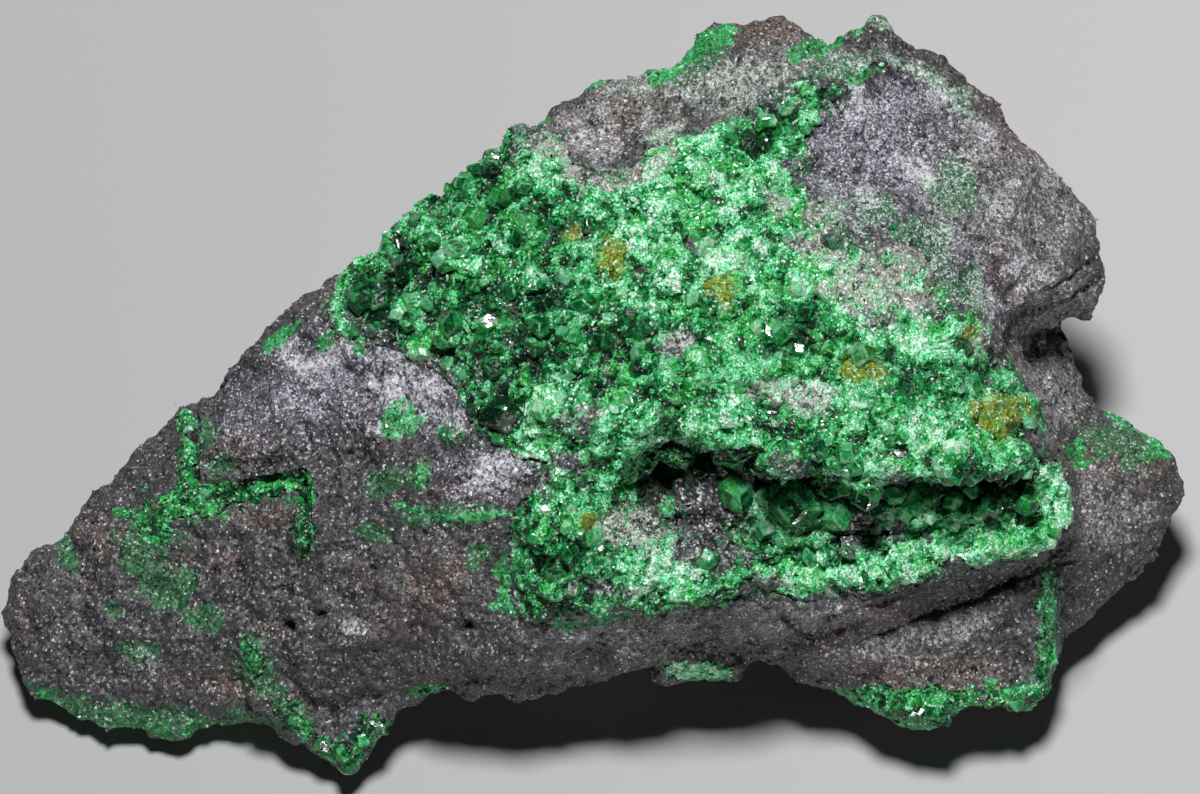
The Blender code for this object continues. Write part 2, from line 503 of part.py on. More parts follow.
def make_matrix():
    """The chromite lump: its seen face and its underside, joined at the rim, hollowed, and broken up all over."""
    rim = roughened(RIM, SHAPE_SPACING)
    rim_table = np.array(rim)
    front, front_faces, front_rim = triangulate(rim, BREAKS + (FISSURE, CRACK), SHAPE_SPACING)
    back, back_faces, back_rim = triangulate(rim, (), SHAPE_SPACING)
    on_rim = {index: height for index, (_, _, height) in zip(front_rim, rim)}
    points = []
    for k, v in enumerate(front):
        under = underside_height(v.x, v.y, rim_table)
        points.append(place(v.x, v.y, on_rim[k] if k in on_rim else max(face_height(v.x, v.y), under + 1.0)))
    shared = dict(zip(back_rim, front_rim))
    for k, v in enumerate(back):
        if k not in shared:
            shared[k] = len(points)
            points.append(place(v.x, v.y, underside_height(v.x, v.y, rim_table)))
    back_faces = [tuple(shared[k] for k in reversed(face)) for face in back_faces]
    # A triangle with all its corners on the rim can be in both covers, and there the stone has no thickness.
    flat = {frozenset(face) for face in front_faces} & {frozenset(face) for face in back_faces}
    faces = [face for face in front_faces + back_faces if frozenset(face) not in flat]
    matrix = new_mesh_object("chromite_matrix", shape_from(points, faces))
    combine(matrix, make_hollow_cutter(), "DIFFERENCE")

    remesh = matrix.modifiers.new("Even grain", "REMESH")
    remesh.mode = "VOXEL"
    remesh.voxel_size = BROKEN_GRAIN * MM
    evaluate(matrix)
    normals = [vertex.normal.copy() for vertex in matrix.data.vertices]
    for vertex, normal in zip(matrix.data.vertices, normals):
        vertex.co += normal * broken(vertex.co / MM + Vector((CENTRE_X, CENTRE_Y, 0.0))) * MM
    thin = matrix.modifiers.new("Facets", "DECIMATE")
    thin.ratio = MATRIX_TRIANGLES / (2 * len(matrix.data.polygons))
    evaluate(matrix)
    for vertex in matrix.data.vertices:
        if vertex.co.z < FOOT_HEIGHT * MM:
            vertex.co.z = 0.0
    keep_largest(matrix, 2.0)
    return matrix


class Face:
    """The finished chromite as it is seen along the line of sight."""

    def __init__(self, matrix):
        shape = bmesh.new()
        shape.from_mesh(matrix.data)
        self.tree = BVHTree.FromBMesh(shape)
        shape.free()

    def height(self, across, up):
        """Height of what is seen at a place, or of the outline where the line of sight misses it."""
        start = place(across, up, 60.0)
        hit = self.tree.ray_cast(start, place(across, up, 0.0) - start)[0]
        return hit.z / MM if hit else RELIEF.height(across, up)


def make_hollow_cutter():
    """The egg shapes of the hollow under the lip, as one cutter."""
    shape = bmesh.new()
    for across, up, height, wide, deep, tall in HOLLOW:
        size = Matrix.Diagonal((wide * MM, deep * MM, tall * MM, 1.0))
        bmesh.ops.create_icosphere(
            shape, subdivisions=2, radius=1.0, matrix=Matrix.Translation(place(across, up, height)) @ size
        )
    return new_mesh_object("hollow_cutter", shape)


def make_crust(matrix, face):
    """The main druse: a lumpy sheet of garnet over the face, with its larger crystals fused to it."""
    edge = [*CRUST_EDGE, CRUST_EDGE[0]]

    def top(across, up):
        swell = 0.5 + 0.5 * min(1.0, distance_to(edge, (across, up)) / 2.0)
        lumps = noise.fractal(Vector((across, up, 40.0)) / 2.6, 0.9, 2.0, 2)
        return face.height(across, up) + GAP + max(0.55, CRUST_THICKNESS * swell + 0.45 * lumps)

    def bottom(across, up):
        return face.height(across, up) - 1.5

    crust = slab("garnet_crust", CRUST_EDGE, (CRUST_MOUTH,), (LIP_EDGE, BENCH_RIM), CRUST_SPACING, top, bottom)
    random = np.random.default_rng(7)
    crystals = []
    for across, up, reach, count, radius in CRYSTAL_BEDS:
        for k in range(count):
            angle = k * 2.4
            far = reach * math.sqrt((k + 0.5) / count)
            x, y = across + far * math.cos(angle), up + far * math.sin(angle)
            if inside((x, y), CRUST_EDGE) and not inside((x, y), CRUST_MOUTH):
                size = radius * random.uniform(0.75, 1.3)
                crystals.append((place(x, y, top(x, y) - 0.35 * size), size))
    crystals += [(place(x, y, top(x, y) - 0.5 * size), size) for x, y, size in LIP_NODULES]
    combine(crust, crystal_cluster("crust_crystals", crystals, 3), "UNION")
    combine(crust, grown(matrix, "matrix_clearance", GAP), "DIFFERENCE")
    keep_largest(crust, 6.0)
    return crust


def make_pocket(matrix, face, crust):
    """The larger crystals that line the hollow's floor, grown together on a thin strip of garnet."""
    crystals = [(place(x, y, face.height(x, y) + 0.5 * size), size) for x, y, size in POCKET_CRYSTALS]
    for x, y in stepped(POCKET_FLOOR, 2.0):
        crystals.append((place(x, y, face.height(x, y) + 0.4), 1.35))
    pocket = crystal_cluster("pocket_crystals", crystals, 5)
    combine(pocket, grown(matrix, "matrix_clearance", GAP), "DIFFERENCE")
    combine(pocket, grown(crust, "crust_clearance", GAP), "DIFFERENCE")
    keep_largest(pocket, 7.0)
    return pocket


def make_patch(name, matrix, face, edge, placed, seed):
    """A thin sheet of garnet on the stone, with the crystals that stand on it fused to it."""

    def top(across, up):
        lumps = noise.fractal(Vector((across, up, seed)) / 1.4, 0.9, 2.0, 2)
        return max(0.5, face.height(across, up) + GAP + PATCH_THICKNESS + 0.25 * lumps)

    def bottom(across, up):
        return top(across, up) - 1.6

    patch = slab(name, edge, (), (), PATCH_SPACING, top, bottom)
    crystals = [(place(x, y, top(x, y) - 0.15 * size), size) for x, y, size in placed]
    combine(patch, crystal_cluster(name + "_stones", crystals, seed), "UNION")
    combine(patch, grown(matrix, "matrix_clearance", GAP), "DIFFERENCE")
    keep_largest(patch, 8.0)
    return patch


def make_underside(matrix):
    """The garnet lump under the arch in the front edge."""
    crystals = []
    for row, (up, height, radius) in enumerate(UNDERSIDE_ROWS):
        crystals += [(place(3.7 + 0.5 * row + 1.1 * k, up, height), radius) for k in range(4)]
    lump = crystal_cluster("underside_crystals", crystals, 29)
    combine(lump, grown(matrix, "matrix_clearance", GAP), "DIFFERENCE")
    keep_largest(lump, 14.0)
    return lump


def give_material(target, name, colour, roughness_value):
    """A plain finish, by name, colour and roughness."""
    material = bpy.data.materials.get(name) or bpy.data.materials.new(name)
    material.use_nodes = True
    shader = material.node_tree.nodes["Principled BSDF"]
    shader.inputs["Base Color"].default_value = (*colour, 1.0)
    shader.inputs["Roughness"].default_value = roughness_value
    shader.inputs["Metallic"].default_value = 0.0
    target.data.materials.clear()
    target.data.materials.append(material)


def main():
    noise.seed_set(5)
    clear_scene()
    matrix = make_matrix()
    face = Face(matrix)
    crust = make_crust(matrix, face)
    pocket = make_pocket(matrix, face, crust)
    fissure = make_patch("fissure_crystals", matrix, face, FISSURE_EDGE, FISSURE_CRYSTALS, 11)
    left_rim = make_patch("left_rim_crystals", matrix, face, LEFT_RIM_EDGE, LEFT_RIM_CRYSTALS, 13)
    right_rim = make_patch("right_rim_crystals", matrix, face, RIGHT_RIM_EDGE, RIGHT_RIM_CRYSTALS, 17)
    under = make_underside(matrix)
    give_material(matrix, "chromite", (0.085, 0.075, 0.075), 0.6)
    give_material(crust, "garnet", (0.02, 0.28, 0.07), 0.25)
    for cluster in (pocket, fissure, left_rim, right_rim, under):
        give_material(cluster, "dark_garnet", (0.01, 0.14, 0.035), 0.15)


if __name__ == "__main__":
    main()
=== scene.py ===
"""The looks of a garnet druse on chromite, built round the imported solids.

The stone is described the way it is looked at, along a line of sight 62 degrees above the table. A place on
its face is (across, up) in millimetres: across runs to the right, and up runs towards the crest.
"""

import math

import bmesh
import bpy
import numpy as np
from bpy.props import FloatProperty, FloatVectorProperty, IntProperty, PointerProperty
from mathutils import Matrix, Vector, noise
from mathutils.bvhtree import BVHTree


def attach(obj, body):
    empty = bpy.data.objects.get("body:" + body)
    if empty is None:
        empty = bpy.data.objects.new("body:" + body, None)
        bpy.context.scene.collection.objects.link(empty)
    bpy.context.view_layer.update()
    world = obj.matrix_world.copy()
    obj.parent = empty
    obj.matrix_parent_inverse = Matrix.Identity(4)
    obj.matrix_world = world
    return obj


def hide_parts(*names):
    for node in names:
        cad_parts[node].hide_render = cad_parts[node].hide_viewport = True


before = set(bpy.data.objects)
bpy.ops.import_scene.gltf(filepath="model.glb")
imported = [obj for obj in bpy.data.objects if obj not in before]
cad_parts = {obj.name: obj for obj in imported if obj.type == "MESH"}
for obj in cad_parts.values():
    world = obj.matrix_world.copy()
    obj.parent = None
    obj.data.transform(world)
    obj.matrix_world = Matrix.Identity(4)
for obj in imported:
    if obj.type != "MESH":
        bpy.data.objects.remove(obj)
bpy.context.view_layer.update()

bl_info = {
    "name": "Garnet Druse on Chromite",
    "version": (1, 0, 0),
    "blender": (4, 5, 0),
    "location": "3D Viewport > Sidebar > Specimen",
    "description": "Dresses the solids of a mineral specimen in broken rock and crystals",
    "category": "Object",
}

MM = 0.001
SIGHT = math.radians(62.0)
TO_VIEWER = Vector((0.0, -math.cos(SIGHT), math.sin(SIGHT)))
UP_THE_FACE = Vector((0.0, math.sin(SIGHT), math.cos(SIGHT)))
# Added to a solid's x and y in millimetres, these put (0, 0) of the face in the middle of the picture.
CENTRE_X = -0.12
CENTRE_Y = -5.57

# Lengths in millimetres. The solids are swollen by this much, to join up in one skin.
SKIN_SWELL = 0.2
# The rock rises to the main crust.
APRON_HEIGHT = 0.75
APRON_REACH = 2.6
# The main crust sinks at the cleft's lip, and the rock sinks under every crust.
LIP_SINK = 0.5
UNDER_CRUST = 0.22
CRUST_WALL = 0.5
RIDGE_HEIGHT = 0.12
SPIKE_LENGTH = 0.07
# The tip of the crest, as (across, up), and how far it is drawn out.
PEAK = (15.3, 20.6)
PEAK_HEIGHT = 0.5
# Reliefs: the size and height of their lumps, then the size and depth of each kind of chip.
STONE_RELIEF = ((3.2, 1.2), (2.1, 1.6), (1.0, 1.1))
ROCK_RELIEF = ((0.8, 0.1), (0.5, 0.2))
CRUST_RELIEF = ((1.3, 0.25), (1.3, 0.6), (0.6, 0.4))
# How often a value is averaged with its neighbours.
WEAR_ROUNDS = 90
BORDER_ROUNDS = 90
INNER_ROUNDS = 60
EDGE_ROUNDS = 30
RIDGE_ROUNDS = 14
SPIKE_ROUNDS = 8
# The share of its faces that the finished rock keeps.
KEPT_FACES = 0.76

# Sizes of the grains of colour. SPARK_SIZE is the size of the grains painted near white as painted glints.
GRIT_SIZE = 0.08 * MM
SPARK_SIZE = 0.11 * MM
SUGAR_GRAIN = 0.15 * MM
STONE_GRAIN = 0.16 * MM
FLAKE_SIZE = 0.5 * MM
LIME_SIZE = 1.3 * MM
# Finishes of the crystals: name, paleness, weight of each crystal's tone, clearness, dullness, share of
# painted glints, grit. The cleft's finish is a paler copy of the clear one, painted light that lifts the
# shade there.
CRYSTAL_FINISHES = (
    ("sugar_crystals", 0.5, 0.5, 0.0, 0.2, 0.8, 0.65),
    ("small_crystals", 0.41, 0.55, 0.2, 0.12, 0.6, 0.35),
    ("middling_crystals", 0.35, 0.6, 0.4, 0.1, 0.3, 0.15),
    ("clear_crystals", 0.25, 0.35, 0.4, 0.12, 0.2, 0.2),
    ("shaded_crystals", 0.29, 0.4, 0.4, 0.1, 0.3, 0.2),
    ("milky_crystals", 0.38, 0.2, 0.1, 0.25, 0.3, 0.3),
)
SCATTER = "Scattered growth"

# The lamps and the floor, in metres, and the height in millimetres that the lamps and the camera aim at.
KEY_PLACE = (-0.012, 0.06, 0.49)
KEY_SIZE = 0.11
FILL_PLACE = (0.15, -0.48, 0.022)
FILL_SIZE = 0.04
FLOOR_REACH = 1.5
MIDDLE_HEIGHT = 11
SKY_COLOUR = (0.82, 0.86, 0.92, 1.0)
SKY_STRENGTH = 0.005
# How much brighter the paper is painted on the right than on the left: painted light, falling off to the
# left.
PAPER_SLOPE = 1.22

# Patches of colour and of growth: (across, up, half width, half height), and a turn in degrees where needed.
ROCK_GREEN = (
    (-22.4, -5.9, 2.4, 1.0), (-26.4, -6.4, 0.5, 0.4), (-24.3, -7.4, 1.3, 0.6), (-19.2, -14.5, 0.5, 1.0, 25),
    (-10.8, -1.3, 1.2, 1.0), (-8.6, -2.0, 0.6, 0.4), (-9.8, -4.0, 0.25, 0.8), (-3.9, -16.7, 0.6, 0.25),
    (-9.7, -16.1, 1.1, 0.35, 10), (-4.9, -10.2, 1.0, 2.0), (30.6, -2.9, 0.9, 0.8),
    (29.0, -1.4, 1.6, 0.4, -20), (26.2, -3.0, 0.7, 1.0), (5.7, -15.1, 1.8, 0.7), (-0.3, 17.3, 1.0, 0.4, 20),
    (-3.9, 14.7, 1.2, 0.5, 40), (-17.6, 3.3, 1.5, 0.4, 38), (0.4, -11.8, 0.9, 0.6), (3.2, -11.5, 0.8, 0.5),
    (6.4, -11.0, 1.2, 0.5), (-2.2, -12.4, 1.0, 0.5), (-13.2, 2.6, 0.5, 0.4), (-15.3, 2.9, 0.8, 0.5, 30),
    (-8.0, 1.6, 0.4, 0.4), (17.2, -16.6, 2.4, 0.8), (-21.8, -18.5, 2.4, 0.5, -3),
    (-28.6, -17.9, 1.6, 0.4, -15), (7.0, -3.5, 1.5, 0.6), (4.0, -3.4, 0.7, 0.3),
)
# Dull green stains on the rock.
DULL = (
    (-24.9, -7.9, 1.9, 1.4), (-24.7, -9.8, 1.7, 1.1), (-23.6, -10.6, 1.6, 1.2, -20),
    (-21.6, -12.1, 1.2, 0.9, -15), (-26.8, -11.7, 0.6, 0.6), (-29.4, -8.6, 0.7, 1.1, 30),
    (-25.4, -14.0, 1.2, 0.6), (-7.9, -1.9, 0.9, 0.8), (-18.6, -15.6, 0.9, 1.4, 25),
    (-17.2, -17.4, 1.4, 1.0, -40), (-12.0, -4.6, 1.1, 0.9, 30), (-12.2, -7.4, 1.0, 0.6),
    (-9.9, -4.2, 0.6, 1.1), (-20.8, -3.8, 0.8, 0.7), (-21.6, -1.9, 0.5, 1.3), (-19.0, -14.6, 1.0, 1.6, 25),
    (-26.5, -17.6, 4.6, 0.9, -4), (-19.6, -17.7, 2.0, 0.7, -10), (-30.4, -16.6, 1.2, 0.7, -40),
    (-21.8, -18.4, 3.2, 0.9, -4), (28.8, -2.5, 2.6, 1.3, -10), (-8.5, -6.4, 2.6, 0.6, 3),
    (24.6, -12.0, 0.7, 3.0), (17.4, 8.4, 2.4, 1.5, -40), (19.6, 5.4, 2.0, 1.8), (15.2, 10.4, 1.5, 0.9, -30),
    (19.6, 11.2, 1.2, 2.0), (-6.6, -8.6, 0.7, 0.9), (12.6, 17.9, 3.0, 0.7, 20), (5.5, 18.6, 2.2, 0.8, 35),
    (-5.4, 13.2, 1.6, 0.8, 38),
)
# Narrow bands of green: a route on the face and the half width.
GREEN_SEAMS = (
    (((-22.7, -1.3), (-22.7, -4.7)), 0.45),
    (((-22.6, -5.2), (-19.7, -5.2), (-16.2, -4.6)), 0.5),
    (((-16.2, -4.6), (-16.2, -8.3)), 0.45),
    (((-17.6, -17.2), (-15.2, -19.4), (-13.9, -20.8)), 0.5),
    (((-13.9, -20.6), (-12.9, -18.7), (-11.5, -18.3)), 0.8),
    (((-31.3, -15.7), (-30.2, -16.9), (-28.3, -18.0), (-25.0, -18.3), (-21.6, -17.9), (-18.8, -18.4)), 0.22),
    (((24.6, -9.3), (24.4, -15.6)), 0.4),
    (((13.8, -16.7), (15.4, -17.5), (17.9, -18.4), (20.1, -16.9), (22.3, -17.3), (24.4, -16.2),
      (25.2, -14.8)), 1.1),
    (((-11.2, -5.9), (-8.6, -6.6), (-5.0, -6.4)), 0.22),
    (((3.2, 17.7), (5.0, 18.9), (6.8, 20.4)), 0.7),
    (((10.8, 18.8), (14.2, 20.2)), 0.5),
    (((9.9, 16.9), (12.9, 16.9), (15.2, 17.9)), 0.35),
)
# Pale green powder on the rock.
WASH = (
    (19.6, 16.4, 1.3, 1.4), (17.4, 17.9, 2.4, 0.7, -20), (18.2, 11.2, 0.6, 1.4, 20),
    (19.0, 9.0, 0.5, 1.2, -15), (14.5, 6.8, 3.0, 2.2, -40), (15.3, 20.6, 0.9, 0.9), (20.5, 6.0, 0.9, 1.4),
    (20.4, 2.4, 1.2, 1.4), (14.3, 18.4, 1.6, 1.0), (1.2, 11.9, 1.6, 0.8), (3.3, 14.1, 1.5, 0.8),
    (-4.9, 13.4, 1.0, 0.6, 30), (12.5, 9.8, 1.2, 1.6, 30),
)
# Rock that is paler than the rest. The patches low on the front flank, near up -12, are partly painted light
# that lifts the flank out of shade.
GREY = (
    (18.5, -13.2, 4.0, 1.2, 10), (1.0, -12.4, 5.0, 1.4), (27.6, -6.2, 2.2, 2.0), (12.0, -12.0, 3.0, 0.8),
    (9.8, -12.2, 2.2, 0.9, -10), (25.0, 5.0, 2.6, 2.2), (-1.1, 14.1, 2.2, 1.2), (18.7, 16.3, 1.5, 1.2),
    (20.9, 3.1, 1.2, 1.0), (20.9, 14.1, 1.5, 1.1), (23.1, 7.5, 1.3, 1.1), (23.1, 11.9, 1.3, 1.0),
    (23.5, 10.5, 3.5, 3.5), (24.5, 0.5, 2.0, 3.0),
)
LILAC = (
    (-14.6, 1.4, 5.8, 2.3, 27), (-9.4, 0.1, 3.6, 2.0), (15.0, 14.0, 4.2, 4.0), (14.7, 10.1, 4.0, 1.8, -20),
    (19.8, 5.3, 2.5, 2.4), (-6.3, -4.2, 2.2, 1.3), (18.5, 8.0, 2.0, 2.0),
)
WHITE = (
    (-9.3, 2.6, 1.7, 0.8, 10), (-5.3, -4.0, 1.5, 0.9), (-13.8, 2.9, 3.0, 0.6, 27), (-17.0, 2.6, 0.9, 1.0),
    (-10.4, 0.6, 2.2, 1.0), (22.2, 10.2, 1.2, 1.4), (-25.0, -14.4, 1.0, 0.8), (-3.3, 13.4, 1.2, 1.0),
    (-0.5, 12.8, 1.8, 0.8), (22.6, 7.7, 0.8, 1.3), (2.2, -6.9, 1.4, 1.1), (17.4, 18.0, 1.4, 0.4, -25),
    (13.4, 16.4, 1.2, 0.9), (17.4, 12.4, 1.6, 0.5, -30), (14.6, 11.2, 0.6, 0.9, 20), (23.4, 11.6, 1.8, 0.9),
    (-1.1, 14.1, 1.8, 0.8, 20), (18.9, 16.4, 1.0, 0.9), (20.9, 14.1, 1.1, 0.8), (23.1, 7.5, 1.0, 0.7),
    (-7.7, -1.3, 1.0, 0.7), (14.3, 18.5, 1.2, 0.6), (2.4, 14.6, 1.6, 0.9, 20), (0.3, 13.4, 1.8, 0.7, 15),
    (20.4, 13.2, 0.6, 1.6, 25), (21.2, 5.0, 0.7, 1.4), (24.0, 6.4, 1.4, 0.6, 20),
    (24.6, 12.4, 0.9, 0.6, -40), (13.0, 8.4, 0.8, 0.6), (-12.0, -1.8, 1.6, 0.5), (-1.0, 15.4, 2.0, 0.7, 30),
    (7.3, -8.6, 0.9, 0.5),
)
BROWN = (
    (22.0, 16.6, 1.9, 1.1, -20), (23.0, 14.0, 2.0, 2.0), (24.8, 10.3, 2.3, 1.0, -20), (9.2, 20.2, 2.8, 1.0),
    (-20.1, -2.9, 2.0, 0.9, 20), (-18.8, -6.6, 1.8, 0.8), (-27.3, -7.6, 1.4, 0.9), (-8.6, -10.2, 1.6, 1.2),
    (-7.8, -5.0, 1.5, 0.6), (1.1, 15.2, 3.2, 1.4, 20), (28.6, -3.5, 3.0, 1.6), (17.5, -16.0, 3.5, 0.5),
    (13.0, -12.4, 5.0, 1.0, 10), (17.5, -14.8, 4.5, 1.0), (2.0, -12.8, 3.0, 0.6), (22.0, 7.0, 1.6, 2.0),
    (-20.7, -8.9, 0.7, 0.5), (-23.0, -9.1, 0.5, 0.5), (-18.0, -12.9, 0.6, 0.5),
    (-20.0, -15.9, 3.0, 0.9, -10),
)
OLIVE = (
    (8.1, 17.3, 5.5, 1.5, 8), (19.1, 10.5, 1.6, 2.6), (3.0, 17.6, 3.0, 1.0, 15), (-13.3, -12.9, 0.7, 0.5),
)
# Deep green garnet. The patch at (18.8, -5.3), at the back of the cleft, is partly painted shade under the
# lip.
DEEP = (
    (-9.4, 6.4, 4.6, 2.4, 40), (-5.5, 10.6, 2.2, 2.4), (-3.3, 3.1, 4.8, 3.0, -15), (-5.2, -0.4, 1.6, 1.5),
    (1.4, 3.3, 1.5, 1.2), (1.1, 0.9, 1.4, 1.1), (-1.1, -7.9, 1.3, 1.1), (10.2, 3.4, 2.0, 1.6),
    (8.9, 14.4, 2.4, 1.4, 15), (12.5, 16.4, 0.9, 0.8), (12.6, -3.5, 2.0, 0.8, -5), (18.8, -5.3, 5.2, 0.9),
    (19.3, -4.0, 2.2, 0.7), (7.0, -2.7, 1.8, 0.6), (-2.2, -10.1, 2.3, 2.4), (5.2, 7.4, 0.9, 0.6),
    (0.0, -7.9, 1.0, 0.8), (16.5, -1.3, 1.0, 0.8), (12.1, -10.1, 1.3, 0.6), (-0.6, 8.9, 1.1, 0.8),
    (20.2, 0.9, 0.8, 0.7), (-25.0, -17.4, 7.0, 1.3, -6), (-30.6, -16.0, 1.5, 1.0, -40),
    (-17.8, -16.6, 1.2, 2.0, 30), (-14.6, -19.6, 2.2, 1.4, -30), (-22.6, -3.6, 0.8, 1.2),
    (-16.3, -5.8, 0.6, 0.7), (5.5, 8.6, 1.4, 0.8, 30), (16.9, 0.8, 1.3, 0.9),
)
# Sugary pale garnet. The patch at (8.0, -6.3), inside the cleft, is partly painted light that lifts the shade
# there.
MINT = (
    (5.5, 11.4, 5.5, 2.2, 5), (11.0, 7.3, 4.0, 1.8, -15), (2.2, 8.1, 2.8, 1.2), (14.3, 5.9, 3.6, 1.8, -10),
    (5.0, -1.0, 3.6, 0.9), (12.7, 0.2, 3.0, 1.2), (19.3, -1.6, 2.6, 1.1), (-7.7, 8.4, 1.6, 1.4),
    (16.2, -9.0, 7.0, 1.0, 5), (3.2, -9.2, 3.0, 1.4), (-3.3, -2.9, 1.5, 1.1), (24.5, -5.1, 1.0, 1.5),
    (5.5, -14.9, 2.0, 0.8), (19.5, 16.6, 1.4, 1.8), (15.1, 18.4, 2.0, 0.7, -30), (-2.2, 0.2, 1.2, 1.0),
    (3.2, 5.4, 3.2, 0.9), (12.1, 9.7, 1.4, 0.9), (9.9, 9.7, 1.6, 1.1), (3.2, -1.3, 1.4, 0.9),
    (12.1, -1.3, 1.6, 0.8), (3.3, 13.9, 1.5, 0.8), (-5.5, 7.5, 1.2, 1.0), (7.7, 3.1, 1.3, 0.9),
    (7.5, 7.6, 2.0, 1.0), (16.6, 6.6, 2.2, 1.2, -30), (17.2, 3.0, 2.2, 1.2, -20), (-3.6, 6.3, 1.0, 0.7),
    (18.5, -7.3, 6.0, 0.8, 4), (8.0, -6.3, 3.5, 1.8), (-2.5, 12.4, 2.4, 1.3, 30), (1.6, 12.0, 2.6, 1.2),
    (4.2, 13.2, 2.2, 0.8, 10), (-10.0, 1.9, 0.9, 0.6),
)
OCHRE = (
    (0.8, 7.6, 0.9, 0.9), (6.7, 5.9, 0.8, 1.1), (14.0, 1.5, 1.4, 0.7, -20), (21.7, -1.0, 1.5, 1.1, 10),
    (-0.9, -6.7, 0.6, 0.4, 20), (20.1, 3.4, 0.7, 0.6), (-1.4, 8.9, 0.7, 0.5, 30),
)
# Dark rock that shows between the crystals of the cleft. The two at the back under the lip, at (16.8, -5.2)
# and (20.8, -4.9), are partly dark rock and partly painted shade.
STONE = (
    (16.8, -5.2, 2.0, 0.7), (20.8, -4.9, 2.4, 0.5), (5.6, -6.2, 2.2, 3.0), (5.6, -8.2, 2.2, 1.1, -15),
    (14.6, -7.3, 2.4, 0.9, 12), (3.0, -4.6, 1.0, 1.2), (-1.7, -3.4, 1.0, 0.8),
)
# Grains of rock among the garnet.
MIXED = (
    (12.6, 9.2, 2.2, 1.4, -40), (15.4, 7.5, 2.4, 1.4, -35), (18.7, 5.3, 2.0, 1.4, -35),
    (21.2, 3.1, 1.3, 1.5), (-3.9, 14.5, 2.0, 1.3, 40), (0.2, 12.6, 3.2, 1.5), (2.2, 14.3, 1.8, 0.6, 10),
    (-8.8, 1.6, 1.5, 1.0), (-1.2, -1.5, 1.5, 0.9), (-3.3, -4.4, 1.4, 1.2), (8.8, -10.2, 2.0, 0.5, 10),
    (0.6, -10.8, 2.2, 0.7), (8.5, 16.0, 4.0, 0.8, 12), (13.6, 5.2, 1.6, 0.6, -30), (10.1, -3.6, 1.2, 0.9),
    (15.9, -4.2, 1.1, 0.7), (8.0, -1.6, 1.0, 0.6), (14.6, 4.6, 1.8, 0.7, -30), (4.0, 2.6, 1.0, 0.6),
    (16.0, -10.5, 5.0, 0.3, 8), (-5.6, -8.6, 0.6, 1.6), (-12.6, 3.6, 1.6, 0.6, -30),
    (11.3, 8.4, 1.4, 0.7, -10), (21.0, -6.6, 1.6, 0.6, 10),
)
# Rock that the photographed crust leaves free, though its solid covers it.
BARED = (
    (12.6, 14.2, 1.0, 1.9), (11.9, 12.1, 1.8, 0.9, -10), (13.4, 10.6, 1.4, 1.2, -40),
    (7.0, 16.2, 1.6, 0.8, 25), (19.5, -9.2, 0.7, 0.4), (9.3, -10.9, 1.0, 0.4, 20), (0.0, -12.4, 3.0, 0.5),
    (5.5, 15.9, 2.4, 0.7, 10), (9.0, 17.4, 1.6, 0.7, 35), (11.3, 18.3, 1.8, 0.8, 10),
    (-5.9, -10.4, 0.8, 2.6),
)
BARE = (
    (9.6, 10.6, 0.7, 0.7), (12.4, 7.8, 1.2, 0.7, -10), (11.0, 0.1, 2.4, 0.8, -8), (0.6, 13.0, 2.4, 0.9),
    (-3.0, 13.6, 1.2, 0.8), (0.0, 12.0, 1.8, 0.7), (2.0, -7.4, 2.2, 1.3), (15.4, 8.4, 1.4, 0.6, -25),
    (14.6, 6.2, 2.2, 0.9, -30), (12.6, 6.0, 1.0, 0.5), (16.9, 5.2, 0.9, 0.5), (20.9, 3.1, 0.9, 0.7),
    (4.4, 3.0, 0.9, 0.5),
)
PATCHES = {
    "dull": DULL, "wash": WASH, "grey": GREY, "lilac": LILAC, "white": WHITE, "brown": BROWN,
    "olive": OLIVE, "deep": DEEP, "mint": MINT, "ochre": OCHRE, "bare": BARE, "stone": STONE, "mixed": MIXED,
}

# These fade out towards their edges.
SOFT_PATCHES = ("dull", "wash", "grey", "lilac", "white", "brown", "olive")

# Narrow breaks in the rock: a route on the face, the depth and the half width.
CRACKS = (
    (((25.3, -8.7), (22.2, -10.1), (19.9, -11.4), (16.5, -12.6), (14.2, -13.5)), 0.35, 0.22),
    (((-22.3, -0.3), (-22.3, -2.4), (-22.2, -4.4)), 0.9, 0.2),
    (((-22.3, -4.4), (-19.8, -4.8), (-16.3, -4.2)), 1.2, 0.28),
    (((-16.2, -4.6), (-16.1, -6.2)), 0.8, 0.3),
    (((14.2, 18.9), (15.6, 17.9), (17.2, 16.9)), 0.6, 0.3),
    (((21.6, -10.6), (24.0, -9.5), (26.2, -9.0)), 0.3, 0.25),
    (((12.4, -12.2), (15.2, -11.5), (17.6, -10.6)), 0.25, 0.25),
    (((7.6, -10.9), (9.8, -11.9), (11.4, -13.2)), 0.3, 0.25),
    (((23.4, 5.3), (25.6, 6.4), (27.6, 7.8)), 0.4, 0.2),
    (((22.9, 4.3), (25.0, 5.0), (27.2, 6.2)), 0.35, 0.2),
    (((24.2, 3.3), (26.2, 3.5)), 0.8, 0.3),
    (((2.0, -2.8), (3.6, -2.5), (5.4, -2.7), (8.2, -2.7)), 0.9, 0.25),
    (((3.5, -3.9), (3.8, -6.6)), 1.2, 0.4),
    (((-10.0, 7.8), (-8.6, 7.0), (-7.0, 6.5)), 0.6, 0.25),
)
# Small pits: (across, up, radius, depth).
PITS = (
    (-21.0, -9.6, 0.3, 0.5), (-12.5, -9.4, 0.3, 0.4), (8.4, -13.6, 0.35, 0.5), (-17.1, -12.5, 0.5, 0.9),
    (-15.4, -11.9, 0.35, 0.5), (-7.3, -12.6, 0.4, 0.6), (6.8, 16.2, 0.3, 0.5), (-19.9, -5.0, 0.5, 0.9),
    (-3.7, 5.4, 0.45, 1.0), (-28.0, -10.0, 0.4, 0.4),
)

